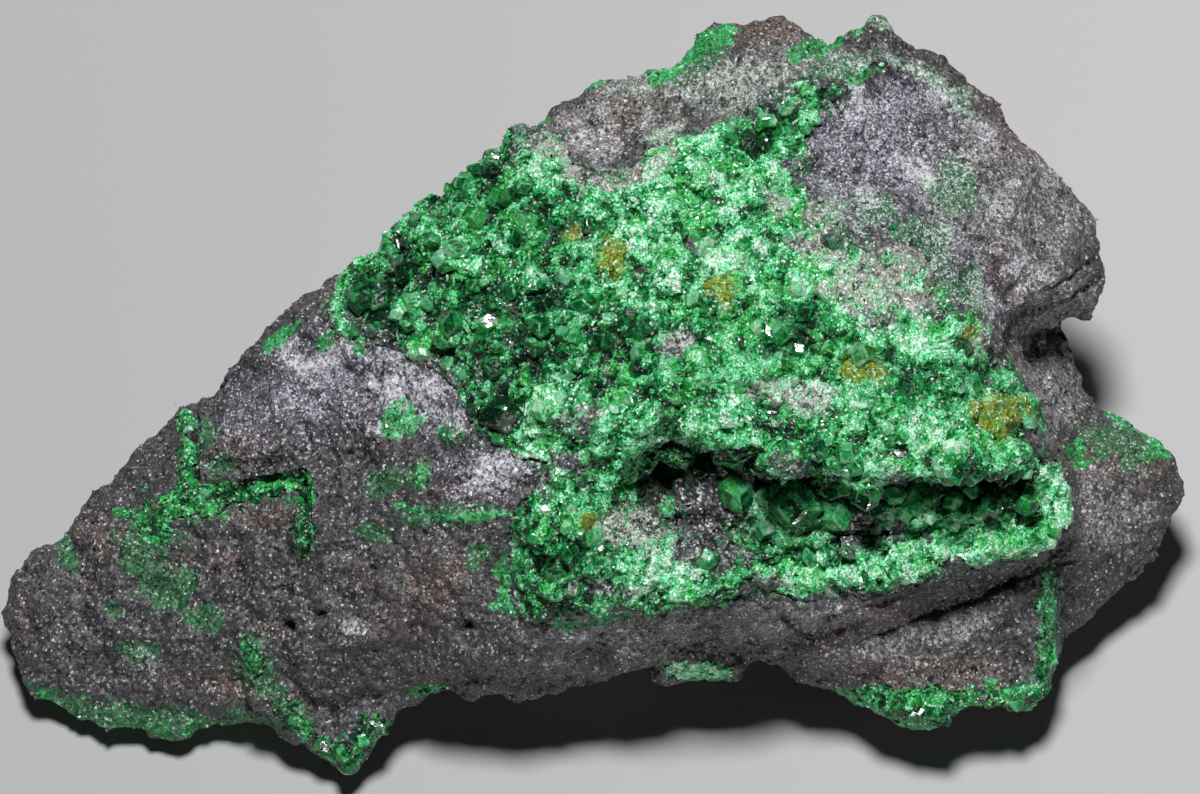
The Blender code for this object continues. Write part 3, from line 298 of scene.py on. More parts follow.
# Lumps of the cleft's upper lip, and hollows between them: (across, up, radius, height).
LIP = (
    (10.2, -3.5, 1.4, 0.6), (15.8, -4.0, 1.3, 0.5), (18.8, -3.9, 1.2, 0.4), (7.2, -3.0, 1.2, 0.4),
    (21.6, -3.9, 1.1, 0.4), (8.7, -3.4, 0.7, -0.7), (12.0, -3.9, 1.0, -1.0), (17.3, -4.6, 0.7, -0.6),
    (13.6, -4.8, 0.9, -0.5), (20.3, -4.6, 0.7, -0.5),
)

# Crystals that stand out one by one: (across, up, radius, how pale). The milky one at (19.0, -2.7) is made
# palest as a painted highlight.
LARGE_CRYSTALS = (
    (-8.0, 8.1, 1.0, 0.7), (-6.0, 12.5, 0.8, -0.7), (-5.6, 10.6, 1.2, -0.2), (-4.7, 10.8, 1.1, 0.0),
    (-10.1, 9.5, 0.9, 0.4), (-10.7, 7.0, 1.1, 0.1), (-13.2, 5.3, 1.1, 0.1), (-11.9, 5.2, 1.2, 0.2),
    (-8.0, 4.2, 1.2, 0.35), (-6.2, 4.0, 1.1, 0.1), (-6.7, 2.7, 1.0, 0.45), (-5.8, 1.5, 1.2, 0.1),
    (-5.1, -0.8, 1.7, -0.6), (-3.4, -0.6, 0.8, 0.8), (-2.1, 0.0, 0.7, 0.7), (-0.8, 5.0, 1.1, 0.1),
    (0.3, 3.1, 1.2, 0.3), (2.2, 3.9, 1.1, -0.3), (-2.2, 2.4, 0.9, 0.1), (-7.5, 11.8, 0.8, 0.4),
    (-12.8, 6.5, 0.9, 0.3), (-9.4, 5.0, 0.8, 0.2), (-8.3, 1.8, 0.55, 0.4), (-9.2, 8.6, 0.8, 0.3),
    (-11.1, 4.5, 0.6, 0.8), (-4.6, 8.7, 0.9, 0.2), (-6.9, 6.0, 0.9, 0.1), (-4.9, 5.8, 0.8, 0.5),
    (-3.4, 3.9, 0.9, 0.1), (9.1, 14.0, 0.9, -0.2), (10.6, 15.0, 0.8, 0.2), (8.1, 13.9, 0.9, -0.4),
    (12.5, 16.5, 0.8, -0.2), (-3.7, 5.4, 0.5, -0.7), (11.3, 14.6, 0.7, 0.4), (-2.4, -9.6, 1.0, 0.1),
    (10.0, 3.6, 1.0, 0.1), (10.9, 2.6, 0.8, 0.2), (19.0, -2.7, 0.7, 1.3), (20.4, 0.7, 0.8, 0.3),
    (16.6, 0.7, 0.8, 0.2), (5.2, 5.3, 0.8, 0.5), (13.4, -3.0, 0.9, 0.3),
)
# The crystals that line the cleft, in the same form. Some are made paler than they are, as painted light
# against the shade of the cleft.
CLEFT_CRYSTALS = (
    (7.4, -5.2, 1.4, 0.1), (10.5, -6.0, 1.8, 0.25), (12.8, -6.3, 1.2, 0.2), (8.9, -7.2, 0.9, 0.4),
    (11.4, -8.7, 1.0, 0.15), (9.9, -7.9, 0.7, 0.4), (5.9, -8.9, 0.9, 0.2), (17.2, -5.4, 1.3, 0.25),
    (18.0, -6.5, 0.6, 0.9), (21.3, -5.7, 0.9, 0.2), (23.2, -5.8, 0.9, 0.3), (22.1, -6.4, 0.6, 0.45),
    (15.2, -6.3, 0.8, 0.3), (14.4, -5.6, 1.0, 0.1), (9.0, -5.4, 0.9, 0.3), (19.2, -5.6, 0.9, 0.3),
    (13.0, -5.0, 0.9, 0.1), (6.0, -3.7, 0.6, 0.3), (16.0, -5.2, 1.0, 0.3), (18.4, -5.2, 1.0, 0.25),
    (20.3, -5.2, 0.9, 0.3), (19.9, -6.3, 0.8, 0.4), (22.3, -5.3, 0.9, 0.3), (16.6, -6.4, 0.7, 0.45),
    (15.6, -6.9, 0.5, 0.3), (16.5, -5.9, 0.5, 0.2), (17.2, -6.9, 0.45, 0.55), (18.9, -6.2, 0.55, 0.25),
    (19.3, -7.0, 0.5, 0.6), (20.7, -6.2, 0.55, 0.3), (21.4, -6.9, 0.45, 0.55), (22.9, -6.7, 0.5, 0.4),
    (17.6, -5.9, 0.5, 0.2), (21.9, -5.9, 0.45, 0.2), (20.2, -6.7, 0.4, 0.4), (18.5, -6.9, 0.4, 0.3),
)
# The dark crystals on the lower edges.
EDGE_CRYSTALS = (
    (-13.9, -20.2, 0.9, -0.1), (-12.9, -18.9, 0.8, 0.6), (-12.1, -18.1, 0.8, 0.1), (-15.3, -19.3, 0.9, -0.1),
    (-17.3, -18.2, 0.8, 0.0), (-16.6, -16.9, 0.5, -0.1), (18.3, -17.6, 1.0, 0.3), (22.9, -16.8, 0.9, 0.3),
    (24.4, -15.2, 0.8, 0.3), (17.6, -16.6, 0.8, 0.1), (16.4, -17.2, 0.8, 0.3), (20.9, -16.3, 0.8, 0.2),
    (5.2, -14.8, 0.8, 0.8),
)

# The opening of the cleft, whose lip stays sharp.
MOUTH = (
    (2.8, -3.7), (5.5, -3.3), (8.4, -3.8), (11.7, -4.4), (13.8, -5.1), (19.2, -5.1), (23.6, -4.9),
    (24.4, -6.3), (21.4, -7.2), (18.1, -7.4), (15.4, -7.6), (12.1, -8.6), (9.1, -8.2), (5.8, -7.0),
    (3.0, -6.9), (2.2, -5.4), (2.8, -3.7),
)
# The solids of garnet that lie flush in the rock: finish, spread over it, and whether only green parts show.
CRUST_NODES = {
    "garnet_crust": ("garnet", 0.25, False), "fissure_crystals": ("dark_garnet", 0.1, True),
    "left_rim_crystals": ("dark_garnet", 0.2, True), "right_rim_crystals": ("dark_garnet", 0.2, True),
    "underside_crystals": ("dark_garnet", 0.2, True), "pocket_crystals": ("dark_garnet", 0.15, False),
}
# How deep the colour of these crusts is all over.
DARKNESS = {"fissure_crystals": 1.6, "left_rim_crystals": 1.6, "right_rim_crystals": 0.5}
# Lumps of rock on the floor of the cleft: (across, up, height above the table, radius).
CLEFT_ROCK = (
    (5.4, -5.1, 13.0, 1.2), (4.5, -5.9, 13.1, 1.1), (5.8, -6.5, 13.0, 1.2), (7.4, -7.2, 12.8, 1.1),
    (8.9, -7.9, 12.5, 0.9), (12.6, -7.9, 12.6, 0.9), (13.7, -7.4, 12.9, 1.0), (15.0, -7.3, 12.9, 1.1),
    (16.4, -7.1, 12.9, 1.0), (17.8, -7.1, 12.7, 0.9), (19.2, -6.9, 12.8, 0.9), (20.6, -6.8, 12.8, 0.8),
    (22.2, -6.6, 12.9, 0.8), (23.6, -6.2, 13.0, 0.8), (6.3, -4.1, 14.0, 1.2), (5.0, -4.4, 13.4, 1.0),
    (7.9, -4.3, 15.0, 1.0), (3.2, -5.3, 12.9, 0.8), (5.4, -3.2, 14.6, 0.9), (3.1, -4.2, 13.4, 0.8),
    (2.2, -4.2, 14.6, 0.8), (2.9, -3.7, 14.8, 0.7), (4.7, -4.3, 14.3, 0.7), (5.6, -4.2, 14.5, 0.7),
    (5.1, -5.2, 13.9, 0.8), (6.3, -4.9, 14.2, 0.7), (4.6, -6.1, 13.7, 0.7), (5.9, -6.1, 13.7, 0.7),
    (6.8, -6.6, 13.6, 0.7), (6.4, -3.5, 16.4, 0.8), (7.5, -3.3, 16.6, 0.8), (4.6, -3.3, 15.8, 0.6),
    (3.6, -3.3, 15.6, 0.6), (15.4, -5.9, 13.9, 0.9), (17.6, -6.0, 13.8, 0.8), (19.6, -6.0, 13.9, 0.8),
    (12.9, -6.8, 13.6, 0.9),
)


def colour_setting(name, description, *default):
    return FloatVectorProperty(name=name, description=description, default=default, subtype="COLOR")


def length_setting(name, description, millimetres):
    return FloatProperty(name=name, description=description, default=millimetres * MM, unit="LENGTH")


class RockSettings(bpy.types.PropertyGroup):
    grain: length_setting("Grain", "Length of a facet of the rock's finest mesh", 0.25)
    roughness_depth: length_setting("Roughness depth", "How far the broken surface stands in and out", 0.26)
    spinel_size: length_setting("Grain size", "Radius of the chromite grains that stand out", 0.14)
    body: colour_setting("Chromite", "Colour of the chromite", 0.056, 0.054, 0.059)
    pale: colour_setting("Pale grain", "Colour of the paler grains", 0.12, 0.115, 0.12)
    lilac: colour_setting("Lilac", "Colour of the lilac grey zones", 0.155, 0.142, 0.195)
    white: colour_setting("White", "Colour of the white specks", 0.62, 0.62, 0.66)
    powder: colour_setting("Powder", "Colour of the pale green powder", 0.30, 0.50, 0.33)
    stain: colour_setting("Stain", "Colour of the dull green stains", 0.018, 0.15, 0.045)
    grey: colour_setting("Grey", "Colour of the paler rock", 0.22, 0.212, 0.22)
    brown: colour_setting("Brown", "Colour of the weathered zones", 0.125, 0.085, 0.072)
    olive: colour_setting("Olive", "Colour of the olive grey zones", 0.33, 0.375, 0.33)


class GarnetSettings(bpy.types.PropertyGroup):
    sugar_size: length_setting("Sugar size", "Radius of the finest crystals", 0.18)
    crystal_size: length_setting("Crystal size", "Radius of the middling crystals", 0.45)
    seed: IntProperty(name="Seed", description="Which random scatter is used", default=4)
    darkest: colour_setting("Darkest", "Colour of the thickest garnet", 0.0015, 0.025, 0.009)
    deep: colour_setting("Deep", "Colour of the clear, thick garnet", 0.004, 0.10, 0.026)
    green: colour_setting("Green", "Colour of the common garnet", 0.014, 0.37, 0.075)
    mint: colour_setting("Mint", "Colour of the sugary garnet", 0.20, 0.68, 0.36)
    frost: colour_setting("Frost", "Colour of the palest garnet", 0.62, 0.88, 0.68)
    lime: colour_setting("Lime", "Colour of the yellower grains", 0.025, 0.4, 0.025)
    # Painted glints: the colour of the grains that are painted near white.
    painted_glint: colour_setting("Spark", "Colour of the brightest grains", 0.8, 0.95, 0.85)
    ochre: colour_setting("Ochre", "Colour of the ochre stains", 0.20, 0.25, 0.012)
    bare: colour_setting("Bare", "Colour of the bare patches in the druse", 0.44, 0.45, 0.42)
    stone: colour_setting("Stone", "Colour of the dark rock in the druse", 0.055, 0.05, 0.058)
    stone_grain: colour_setting("Stone grain", "Colour of the pale grains of that rock", 0.42, 0.41, 0.45)
    dusty: colour_setting("Dusty stone", "Colour of the rock in the sugary garnet", 0.29, 0.265, 0.25)
    dusty_grain: colour_setting("Dusty grain", "Colour of the pale grains of that rock", 0.5, 0.48, 0.5)


class StageSettings(bpy.types.PropertyGroup):
    distance: length_setting("Distance", "From the camera to the stone", 1000.0)
    frame_width: length_setting("Frame width", "Width of what the camera sees at the stone", 66.0)
    paper: colour_setting("Paper", "Colour of the floor", 0.42, 0.42, 0.427)
    key_power: FloatProperty(name="Key light", description="Watts of the main light", default=2.8)
    fill_power: FloatProperty(name="Fill light", description="Watts of the second light", default=0.48)


class Link:
    """An output socket of a node tree. Arithmetic on it adds the Math nodes that work it out."""

    def __init__(self, tree, socket):
        self.tree = tree
        self.socket = socket

    def math(self, operation, *values):
        return add(self.tree, "ShaderNodeMath", {"operation": operation}, dict(enumerate(values)))

    def __add__(self, other):
        return self.math("ADD", self, other)

    __radd__ = __add__

    def __sub__(self, other):
        return self.math("SUBTRACT", self, other)

    def __rsub__(self, other):
        return self.math("SUBTRACT", other, self)

    def __mul__(self, other):
        return self.math("MULTIPLY", self, other)

    __rmul__ = __mul__

    def over(self, low, high):
        """0 below low, 1 above high, and smooth between."""
        settings = {"interpolation_type": "SMOOTHSTEP"}
        return add(self.tree, "ShaderNodeMapRange", settings, {0: self, 1: low, 2: high})

    def channel(self, name="Red"):
        """The red, green or blue of a colour, as a number."""
        return add(self.tree, "ShaderNodeSeparateColor", {}, {0: self}, output=name)

    def sibling(self, name):
        """Another output of the same node."""
        return Link(self.tree, self.socket.node.outputs[name])


def add(tree, kind, settings=None, values=None, output=0):
    """Adds a node: its settings first, then the value or link of each socket, by name or number."""
    node = tree.nodes.new(kind)
    for name, value in (settings or {}).items():
        setattr(node, name, value)
    for name, value in (values or {}).items():
        if isinstance(value, Link):
            tree.links.new(value.socket, node.inputs[name])
        else:
            node.inputs[name].default_value = value
    return Link(tree, node.outputs[output]) if node.outputs else node


def vector_maths(tree, operation, values):
    return add(tree, "ShaderNodeVectorMath", {"operation": operation}, values)


class Finish:
    """A material in the making, with its patterns laid in the piece's own coordinates."""

    def __init__(self, name):
        self.material = bpy.data.materials.new(name)
        self.material.use_nodes = True
        self.tree = self.material.node_tree
        self.shader = self.tree.nodes["Principled BSDF"]
        self.place = add(self.tree, "ShaderNodeTexCoord", output="Object")

    def constant(self, **values):
        for name, value in values.items():
            self.shader.inputs[name.replace("_", " ")].default_value = value

    def varying(self, **links):
        for name, link in links.items():
            self.tree.links.new(link.socket, self.shader.inputs[name.replace("_", " ")])

    def patch(self, name):
        """How far a place is in the patches of that name, or another number that the mesh stores."""
        return add(self.tree, "ShaderNodeAttribute", {"attribute_name": name}, output="Fac")

    def blend(self, share, first, second):
        """A colour between two others."""
        low, high = (value if isinstance(value, Link) else (*value, 1.0) for value in (first, second))
        return add(self.tree, "ShaderNodeMix", {"data_type": "RGBA"}, {0: share, 6: low, 7: high}, output=2)

    def cells(self, size):
        """A random colour for each grain of about that size in metres."""
        values = {"Vector": self.place, "Scale": 1.0 / size}
        return add(self.tree, "ShaderNodeTexVoronoi", {}, values, output="Color")

    def mottle(self, size, detail=2.0, rough=0.5):
        """A cloudy pattern of about that size in metres, around 0.5."""
        values = {"Vector": self.place, "Scale": 1.0 / size, "Detail": detail, "Roughness": rough}
        return add(self.tree, "ShaderNodeTexNoise", {}, values, output="Fac")

    def uneven(self, colour, size, depth):
        """The colour, brighter or darker from grain to grain by up to that share."""
        grey = (1.0 - depth) + 2.0 * depth * self.cells(size).channel("Green")
        settings = {"data_type": "RGBA", "blend_type": "MULTIPLY"}
        return add(self.tree, "ShaderNodeMix", settings, {0: 1.0, 6: colour, 7: grey}, output=2)

    def tilted(self, random_colour, amount):
        """The surface's normal, turned its own way on each grain, as flat grains are."""
        centred = vector_maths(self.tree, "SUBTRACT", {0: random_colour, 1: (0.5, 0.5, 0.5)})
        scaled = vector_maths(self.tree, "SCALE", {0: centred, 3: amount})
        normal = add(self.tree, "ShaderNodeNewGeometry", output="Normal")
        turned = vector_maths(self.tree, "ADD", {0: normal, 1: scaled})
        return vector_maths(self.tree, "NORMALIZE", {0: turned})


def garnet_colour(finish, share):
    """Mottled green: the share says how pale each grain is, and the patches of the face change it."""
    garnet = bpy.context.scene.garnet
    mix, patch = finish.blend, finish.patch
    colour = mix(share.over(0.0, 0.28), garnet.darkest, garnet.deep)
    colour = mix(share.over(0.22, 0.55), colour, garnet.green)
    colour = mix(share.over(0.5, 0.85), colour, garnet.mint)
    colour = mix(share.over(0.85, 1.15), colour, garnet.frost)
    lime = finish.cells(LIME_SIZE).channel("Blue").over(0.7, 0.85) * share.over(0.2, 0.4) * 0.4
    colour = mix(lime, colour, garnet.lime)
    grain = finish.cells(STONE_GRAIN).channel()
    colour = mix(patch("ochre") * grain.over(0.0, 0.4), colour, garnet.ochre)
    colour = mix(patch("bare") * grain.over(0.1, 0.6), colour, garnet.bare)
    pale_grain = grain.over(0.72, 1.0)
    stone = mix(pale_grain, garnet.stone, garnet.stone_grain)
    dusty = mix(pale_grain, garnet.dusty, garnet.dusty_grain)
    # Rock shows in broken spots along the crust's edge and in the mixed patches.
    near = (patch("edge") + patch("mixed")).over(0.0, 0.2)
    broken = 2.2 * (finish.mottle(1.0 * MM, 6.0, 0.8) - 0.5)
    rocky = (patch("edge") + 0.62 * patch("mixed") + broken).over(0.45, 0.7) * near
    colour = mix(rocky * 0.9, colour, mix(patch("mint"), stone, dusty))
    return mix(patch("stone"), colour, stone)


def gritty(finish, colour, grit, low, high, strength):
    """The colour, uneven in its finest grains, some of which are painted near white as painted glints."""
    colour = finish.uneven(colour, GRIT_SIZE, grit)
    painted_glint = finish.cells(SPARK_SIZE).channel().over(low, high) * strength
    return finish.blend(painted_glint, colour, bpy.context.scene.garnet.painted_glint)


def paleness(finish, base, grain, weight):
    """How pale the garnet is: by blotch, flake and grain, with ridges painted paler as painted light and
    hollows painted darker as painted shade.
    """
    blotch = finish.mottle(2.6 * MM, 5.0, 0.65)
    flake = finish.cells(FLAKE_SIZE).channel()
    share = base + 1.9 * (blotch - 0.5) + 0.4 * (flake - 0.5) + weight * (grain - 0.5)
    # Painted light on the ridges and painted shade in the hollows.
    return share + 0.22 * finish.patch("raised") + 0.28 * finish.patch("mint") - 0.16 * finish.patch("deep")


def druse_material():
    """The sugary bed between the crystals."""
    finish = Finish("sugary_garnet")
    grain = finish.cells(SUGAR_GRAIN)
    colour = garnet_colour(finish, paleness(finish, 0.42, grain.channel(), 0.5))
    # Painted glints, stronger in the mint patches.
    colour = gritty(finish, colour, 0.65, 0.92, 0.96, 0.5 + 0.5 * finish.patch("mint"))
    tilt = finish.blend(0.5, grain, finish.cells(FLAKE_SIZE))
    roughness = 0.25 + 0.5 * grain.channel("Blue")
    finish.constant(IOR=1.6)
    finish.varying(Base_Color=colour, Roughness=roughness, Normal=finish.tilted(tilt, 1.7))


def crystal_material(name, base, tone_weight, clearness, dullness, painted_glint_share, grit):
    """Garnet crystals: each has its own tone and clouds; its edges are painted paler as painted highlights,
    and its faces are painted in differing tones as painted shading.
    """
    finish = Finish(name)
    share = paleness(finish, base, finish.patch("tone"), tone_weight)
    share = share + 0.6 * (finish.mottle(0.45 * MM, 3.0, 0.6) - 0.5)
    # Painted highlights on the rim strips, and painted shading from facet to facet.
    share = share + 0.45 * finish.patch("pale") + 0.16 * finish.patch("rim") + 0.4 * finish.patch("facet")
    # Painted glints on the crystals.
    colour = gritty(finish, garnet_colour(finish, share), grit, 0.93, 0.97, painted_glint_share)
    roughness = dullness + 0.35 * finish.mottle(0.16 * MM).over(0.42, 0.62)
    finish.constant(IOR=1.65, Transmission_Weight=clearness)
    wavy = finish.tilted(finish.cells(0.24 * MM), 0.1)
    finish.varying(Base_Color=colour, Roughness=roughness, Normal=wavy)


def chromite_material(name="granular_chromite", brightness=1.0):
    """Dark granular rock with zones of other minerals, white specks and small glints."""
    rock, garnet = bpy.context.scene.rock, bpy.context.scene.garnet
    finish = Finish(name)
    mix, patch, mottle = finish.blend, finish.patch, finish.mottle
    grain = finish.cells(0.2 * MM)
    fine = finish.cells(0.1 * MM)
    green_grain, blue_grain = grain.channel("Green"), grain.channel("Blue")
    blotch = mottle(2.4 * MM, 5.0, 0.65)
    colour = mix(blotch.over(0.35, 0.65), [0.55 * value for value in rock.body], rock.body)
    colour = mix(green_grain.over(0.5, 1.0) * 0.35, colour, rock.pale)
    colour = mix(mottle(7.0 * MM).over(0.5, 0.8) * 0.4, colour, rock.brown)
    for zone in ("brown", "grey", "olive", "lilac"):
        colour = mix(patch(zone) * (0.2 + blotch) * (0.3 + 1.3 * green_grain), colour, getattr(rock, zone))
    # A white haze in the white and lilac zones, then powder and dull stains.
    haze = patch("white") * 0.45 + patch("lilac") * 0.34 + 2.2 * (mottle(0.6 * MM, 6.0, 0.85) - 0.5)
    haze = haze.over(0.2, 0.7) * (patch("white") * 0.9 + patch("lilac") * 0.7 + patch("olive") * 0.3)
    colour = mix(haze * (0.08 + 0.4 * blue_grain), colour, rock.white)
    powder = (patch("wash") * 0.9 + 2.6 * (mottle(0.7 * MM, 5.0, 0.8) - 0.5)).over(0.4, 1.0)
    colour = mix(powder * patch("wash") * (0.3 + 0.6 * blue_grain), colour, rock.powder)
    dull = (patch("dull") + 3.2 * (mottle(0.8 * MM, 6.0, 0.85) - 0.5)).over(0.3, 0.8)
    colour = mix(dull * patch("dull").over(0.0, 0.6) * (0.5 + 0.5 * green_grain), colour, rock.stain)
    colour = finish.uneven(colour, 0.09 * MM, 0.85)
    # White specks, more of them in the zones: pale grains, and in part painted glints.
    whiteness = 0.012 + 0.14 * patch("lilac") + 0.28 * haze + 0.1 * patch("olive")
    whiteness = whiteness + 0.03 * patch("grey") + 0.03 * patch("brown")
    speck = (fine.channel() + whiteness).over(0.965, 1.0) * (0.45 + 0.55 * fine.channel("Green"))
    colour = mix(speck * brightness, colour, rock.white)
    # Fine garnet on top.
    green_share = 0.3 + 0.7 * (fine.channel() - 0.4) + 1.4 * (blotch - 0.5) - 0.3 * patch("deep")
    green = mix(green_share.over(0.0, 0.5), garnet.deep, garnet.green)
    green = mix(green_share.over(0.5, 0.9), green, garnet.mint)
    stain = (patch("green") * 1.1 + 2.6 * (mottle(0.8 * MM, 5.0, 0.8) - 0.55)).over(0.35, 0.85)
    colour = mix(stain * 0.9, colour, green)
    finish.constant(IOR=1.7)
    roughness = 0.36 + 0.45 * fine.channel("Blue")
    finish.varying(Base_Color=colour, Roughness=roughness, Normal=finish.tilted(grain, 1.0))
    return finish.material


def linked(name, mesh):
    made = bpy.data.objects.new(name, mesh)
    bpy.context.scene.collection.objects.link(made)
    return made


def mesh_from(name, shape):
    """A mesh from a shape, which is used up."""
    mesh = bpy.data.meshes.new(name)
    shape.to_mesh(mesh)
    shape.free()
    return mesh


def settled(source, name):
    """A plain object with the mesh that the source's modifiers make, in place of the source."""
    graph = bpy.context.evaluated_depsgraph_get()
    mesh = bpy.data.meshes.new_from_object(source.evaluated_get(graph))
    mesh.name = name
    bpy.data.objects.remove(source)
    return linked(name, mesh)


def finished(piece, slot, *nodes):
    """Fixes a piece to the stone and hides the solids that it stands for; the slot is not used."""
    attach(piece, "root")
    if nodes:
        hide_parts(*nodes)


def merged(*nodes, swell=0.0):
    """The surfaces of CAD nodes with their loose triangles joined up, each swollen outward a little."""
    shape = bmesh.new()
    for node in nodes:
        shape.from_mesh(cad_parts[node].data)
    bmesh.ops.remove_doubles(shape, verts=shape.verts, dist=1e-6)
    shape.normal_update()
    for vertex in shape.verts:
        vertex.co += vertex.normal * swell
    return shape


def even_mesh(shape, name, grain):
    """A shape rebuilt in an even fine mesh, with its sharp facets a little worn."""
    solid = linked(name + "_solid", mesh_from(name + "_solid", shape))
    even = solid.modifiers.new("Even", "REMESH")
    even.mode = "VOXEL"
    even.voxel_size = grain
    worn = solid.modifiers.new("Worn", "SMOOTH")
    worn.factor = 0.5
    worn.iterations = 2
    made = settled(solid, name)
    mesh = made.data
    bpy.data.objects.remove(made)
    return mesh


class Skin:
    """A mesh as arrays: its points in millimetres, their normals, and means over their neighbours."""

    def __init__(self, mesh):
        self.mesh = mesh
        ends = np.empty(2 * len(mesh.edges), np.int32)
        mesh.edges.foreach_get("vertices", ends)
        self.first, self.second = ends[0::2], ends[1::2]
        self.count = np.maximum(np.bincount(ends, minlength=len(mesh.vertices)), 1)
        self.read()

    def read(self):
        self.points = coordinates(self.mesh)
        self.normals = read_values(self.mesh.vertex_normals, "vector", 3).reshape(-1, 3)

    def write(self, points):
        points[:, 2] = np.maximum(points[:, 2], 0.0)
        self.mesh.vertices.foreach_set("co", (points * MM).astype(np.float32).ravel())
        self.mesh.update()
        self.read()

    def rise(self, height):
        """Moves each point out along its normal by its height."""
        self.write(self.points + self.normals * height[:, None])

    def mean(self, values, rounds):
        """The values averaged with those of the neighbours, again and again."""
        columns = values.reshape(len(values), -1).copy()
        for _ in range(rounds):
            for k in range(columns.shape[1]):
                column = columns[:, k]
                total = np.bincount(self.first, column[self.second], len(column))
                total += np.bincount(self.second, column[self.first], len(column))
                columns[:, k] = 0.5 * column + 0.5 * total / self.count
        return columns.reshape(values.shape)

    def worn(self, points, limit):
        """The points, with each thin spike drawn back among its neighbours."""
        for _ in range(SPIKE_ROUNDS):
            gap = self.mean(points, 1) - points
            points = points + gap * smooth_step(np.linalg.norm(gap, axis=1), limit, 2.0 * limit)[:, None]
        return points

    def raised(self):
        """1 on ridges and -1 in hollows."""
        height = ((self.points - self.mean(self.points, RIDGE_ROUNDS)) * self.normals).sum(axis=1)
        return np.clip(height / RIDGE_HEIGHT, -1.0, 1.0)

    def facing(self, low, high):
        """1 where the surface faces the viewer."""
        return smooth_step(self.normals @ np.array(TO_VIEWER), low, high)


def read_values(source, field, width=1):
    values = np.empty(width * len(source), np.float32)
    source.foreach_get(field, values)
    return values.astype(float)


def coordinates(mesh):
    return read_values(mesh.vertices, "co", 3).reshape(-1, 3) / MM


def read_share(mesh, name):
    return read_values(mesh.attributes[name].data, "value")


def store(mesh, name, values):
    layer = mesh.attributes.new(name, "FLOAT", "POINT")
    layer.data.foreach_set("value", np.asarray(values, np.float32))


def distance_from(node, points):
    """How far each point is from a node's surface, in millimetres."""
    shape = merged(node)
    tree = BVHTree.FromBMesh(shape)
    shape.free()
    return np.array([tree.find_nearest(Vector(p) * MM)[3] for p in points]) / MM


def on_face(points):
    """Where points in millimetres are on the face, as (across, up)."""
    across = points[:, 0] + CENTRE_X
    up = (points[:, 1] + CENTRE_Y) * math.sin(SIGHT) + points[:, 2] * math.cos(SIGHT)
    return across, up


def seen_at(across, up, height=0.0):
    """The point that is seen at a place on the face and lies at a height above the table."""
    depth = up / math.sin(SIGHT) - height / math.tan(SIGHT)
    return Vector((across - CENTRE_X, depth - CENTRE_Y, height)) * MM


def lumps(points, size, octaves=3):
    return np.array([noise.fractal(Vector(p) / size, 0.9, 2.1, octaves) for p in points])


def chips(points, size):
    """Shallow scoops with sharp ridges between them, about 0 on average."""
    return np.array([noise.voronoi(Vector(p) / size)[0][0] for p in points]) - 0.45


def relief(points, lump, *scoops):
    """Lumps with chips broken out of them, each given as size and height or depth."""
    height = lump[1] * lumps(points, lump[0])
    for size, depth in scoops:
        height = height - depth * chips(points, size)
    return height


def ragged(points):
    """Two sizes of noise, for the edges of patches."""
    return 0.6 * lumps(points, 1.5, 2) + 0.5 * lumps(points, 0.5, 2)


def smooth_step(value, low, high):
    share = np.clip((value - low) / (high - low), 0.0, 1.0)
    return share * share * (3.0 - 2.0 * share)


def fading(value, low, high):
    """1 below low, 0 above high, and smooth between."""
    return 1.0 - smooth_step(value, low, high)


def route_distance(route, across, up):
    """How far each place is from a route on the face."""
    least = np.full(len(across), 1e9)
    for (ax, ay), (bx, by) in zip(route, route[1:]):
        length = (bx - ax) ** 2 + (by - ay) ** 2
        along = np.clip(((across - ax) * (bx - ax) + (up - ay) * (by - ay)) / length, 0.0, 1.0)
        least = np.minimum(least, np.hypot(across - ax - along * (bx - ax), up - ay - along * (by - ay)))
    return least


def patch_share(across, up, patches, wobble, core=0.7):
    """1 in the core of any of the patches, 0 outside, with a ragged edge."""
    share = np.zeros(len(across))
    for x, y, wide, tall, *turn in patches:
        angle = math.radians(sum(turn))
        dx, dy = across - x, up - y
        along = dx * math.cos(angle) + dy * math.sin(angle)
        beside = dy * math.cos(angle) - dx * math.sin(angle)
        share = np.maximum(share, fading(np.hypot(along / wide, beside / tall) + wobble, core, 1.95 - core))
    return share


def green_share(skin):
    """1 where the rock itself is green: in the patches and along the seams."""
    across, up = on_face(skin.points)
    wobble = ragged(skin.points)
    share = patch_share(across, up, ROCK_GREEN, wobble)
    for route, half_width in GREEN_SEAMS:
        reach = route_distance(route, across, up) / half_width
        share = np.maximum(share, fading(reach + 1.3 * wobble, 0.6, 1.4))
    return share * skin.facing(-0.25, 0.1)


def paint(skin, garnet, crust):
    """Stores on each vertex how far it lies in each kind of patch, and how near the main crust's edge is."""
    across, up = on_face(skin.points)
    wobble = ragged(skin.points)
    for name, patches in PATCHES.items():
        store(skin.mesh, name, patch_share(across, up, patches, wobble, 0.3 if name in SOFT_PATCHES else 0.7))
    soft = skin.mean(garnet, BORDER_ROUNDS)
    store(skin.mesh, "edge", fading(soft, 0.3, 0.95) * smooth_step(crust, 0.1, 0.3))
    near = 0.5 * smooth_step(soft + 0.15 * wobble, 0.05, 0.6)
    store(skin.mesh, "green", np.maximum(green_share(skin), near))


def carved(skin):
    """How far the breaks and pits of the face sink each point."""
    across, up = on_face(skin.points)
    depth = np.zeros(len(skin.points))
    for route, deep, half_width in CRACKS:
        depth = np.maximum(depth, deep * fading(route_distance(route, across, up), 0.0, half_width))
    for x, y, radius, deep in PITS:
        depth = np.maximum(depth, deep * fading(np.hypot(across - x, up - y), 0.3 * radius, radius))
    for x, y, radius, high in LIP:
        depth -= high * fading(np.hypot(across - x, up - y), 0.2 * radius, radius)
    return depth * skin.facing(0.0, 0.3)


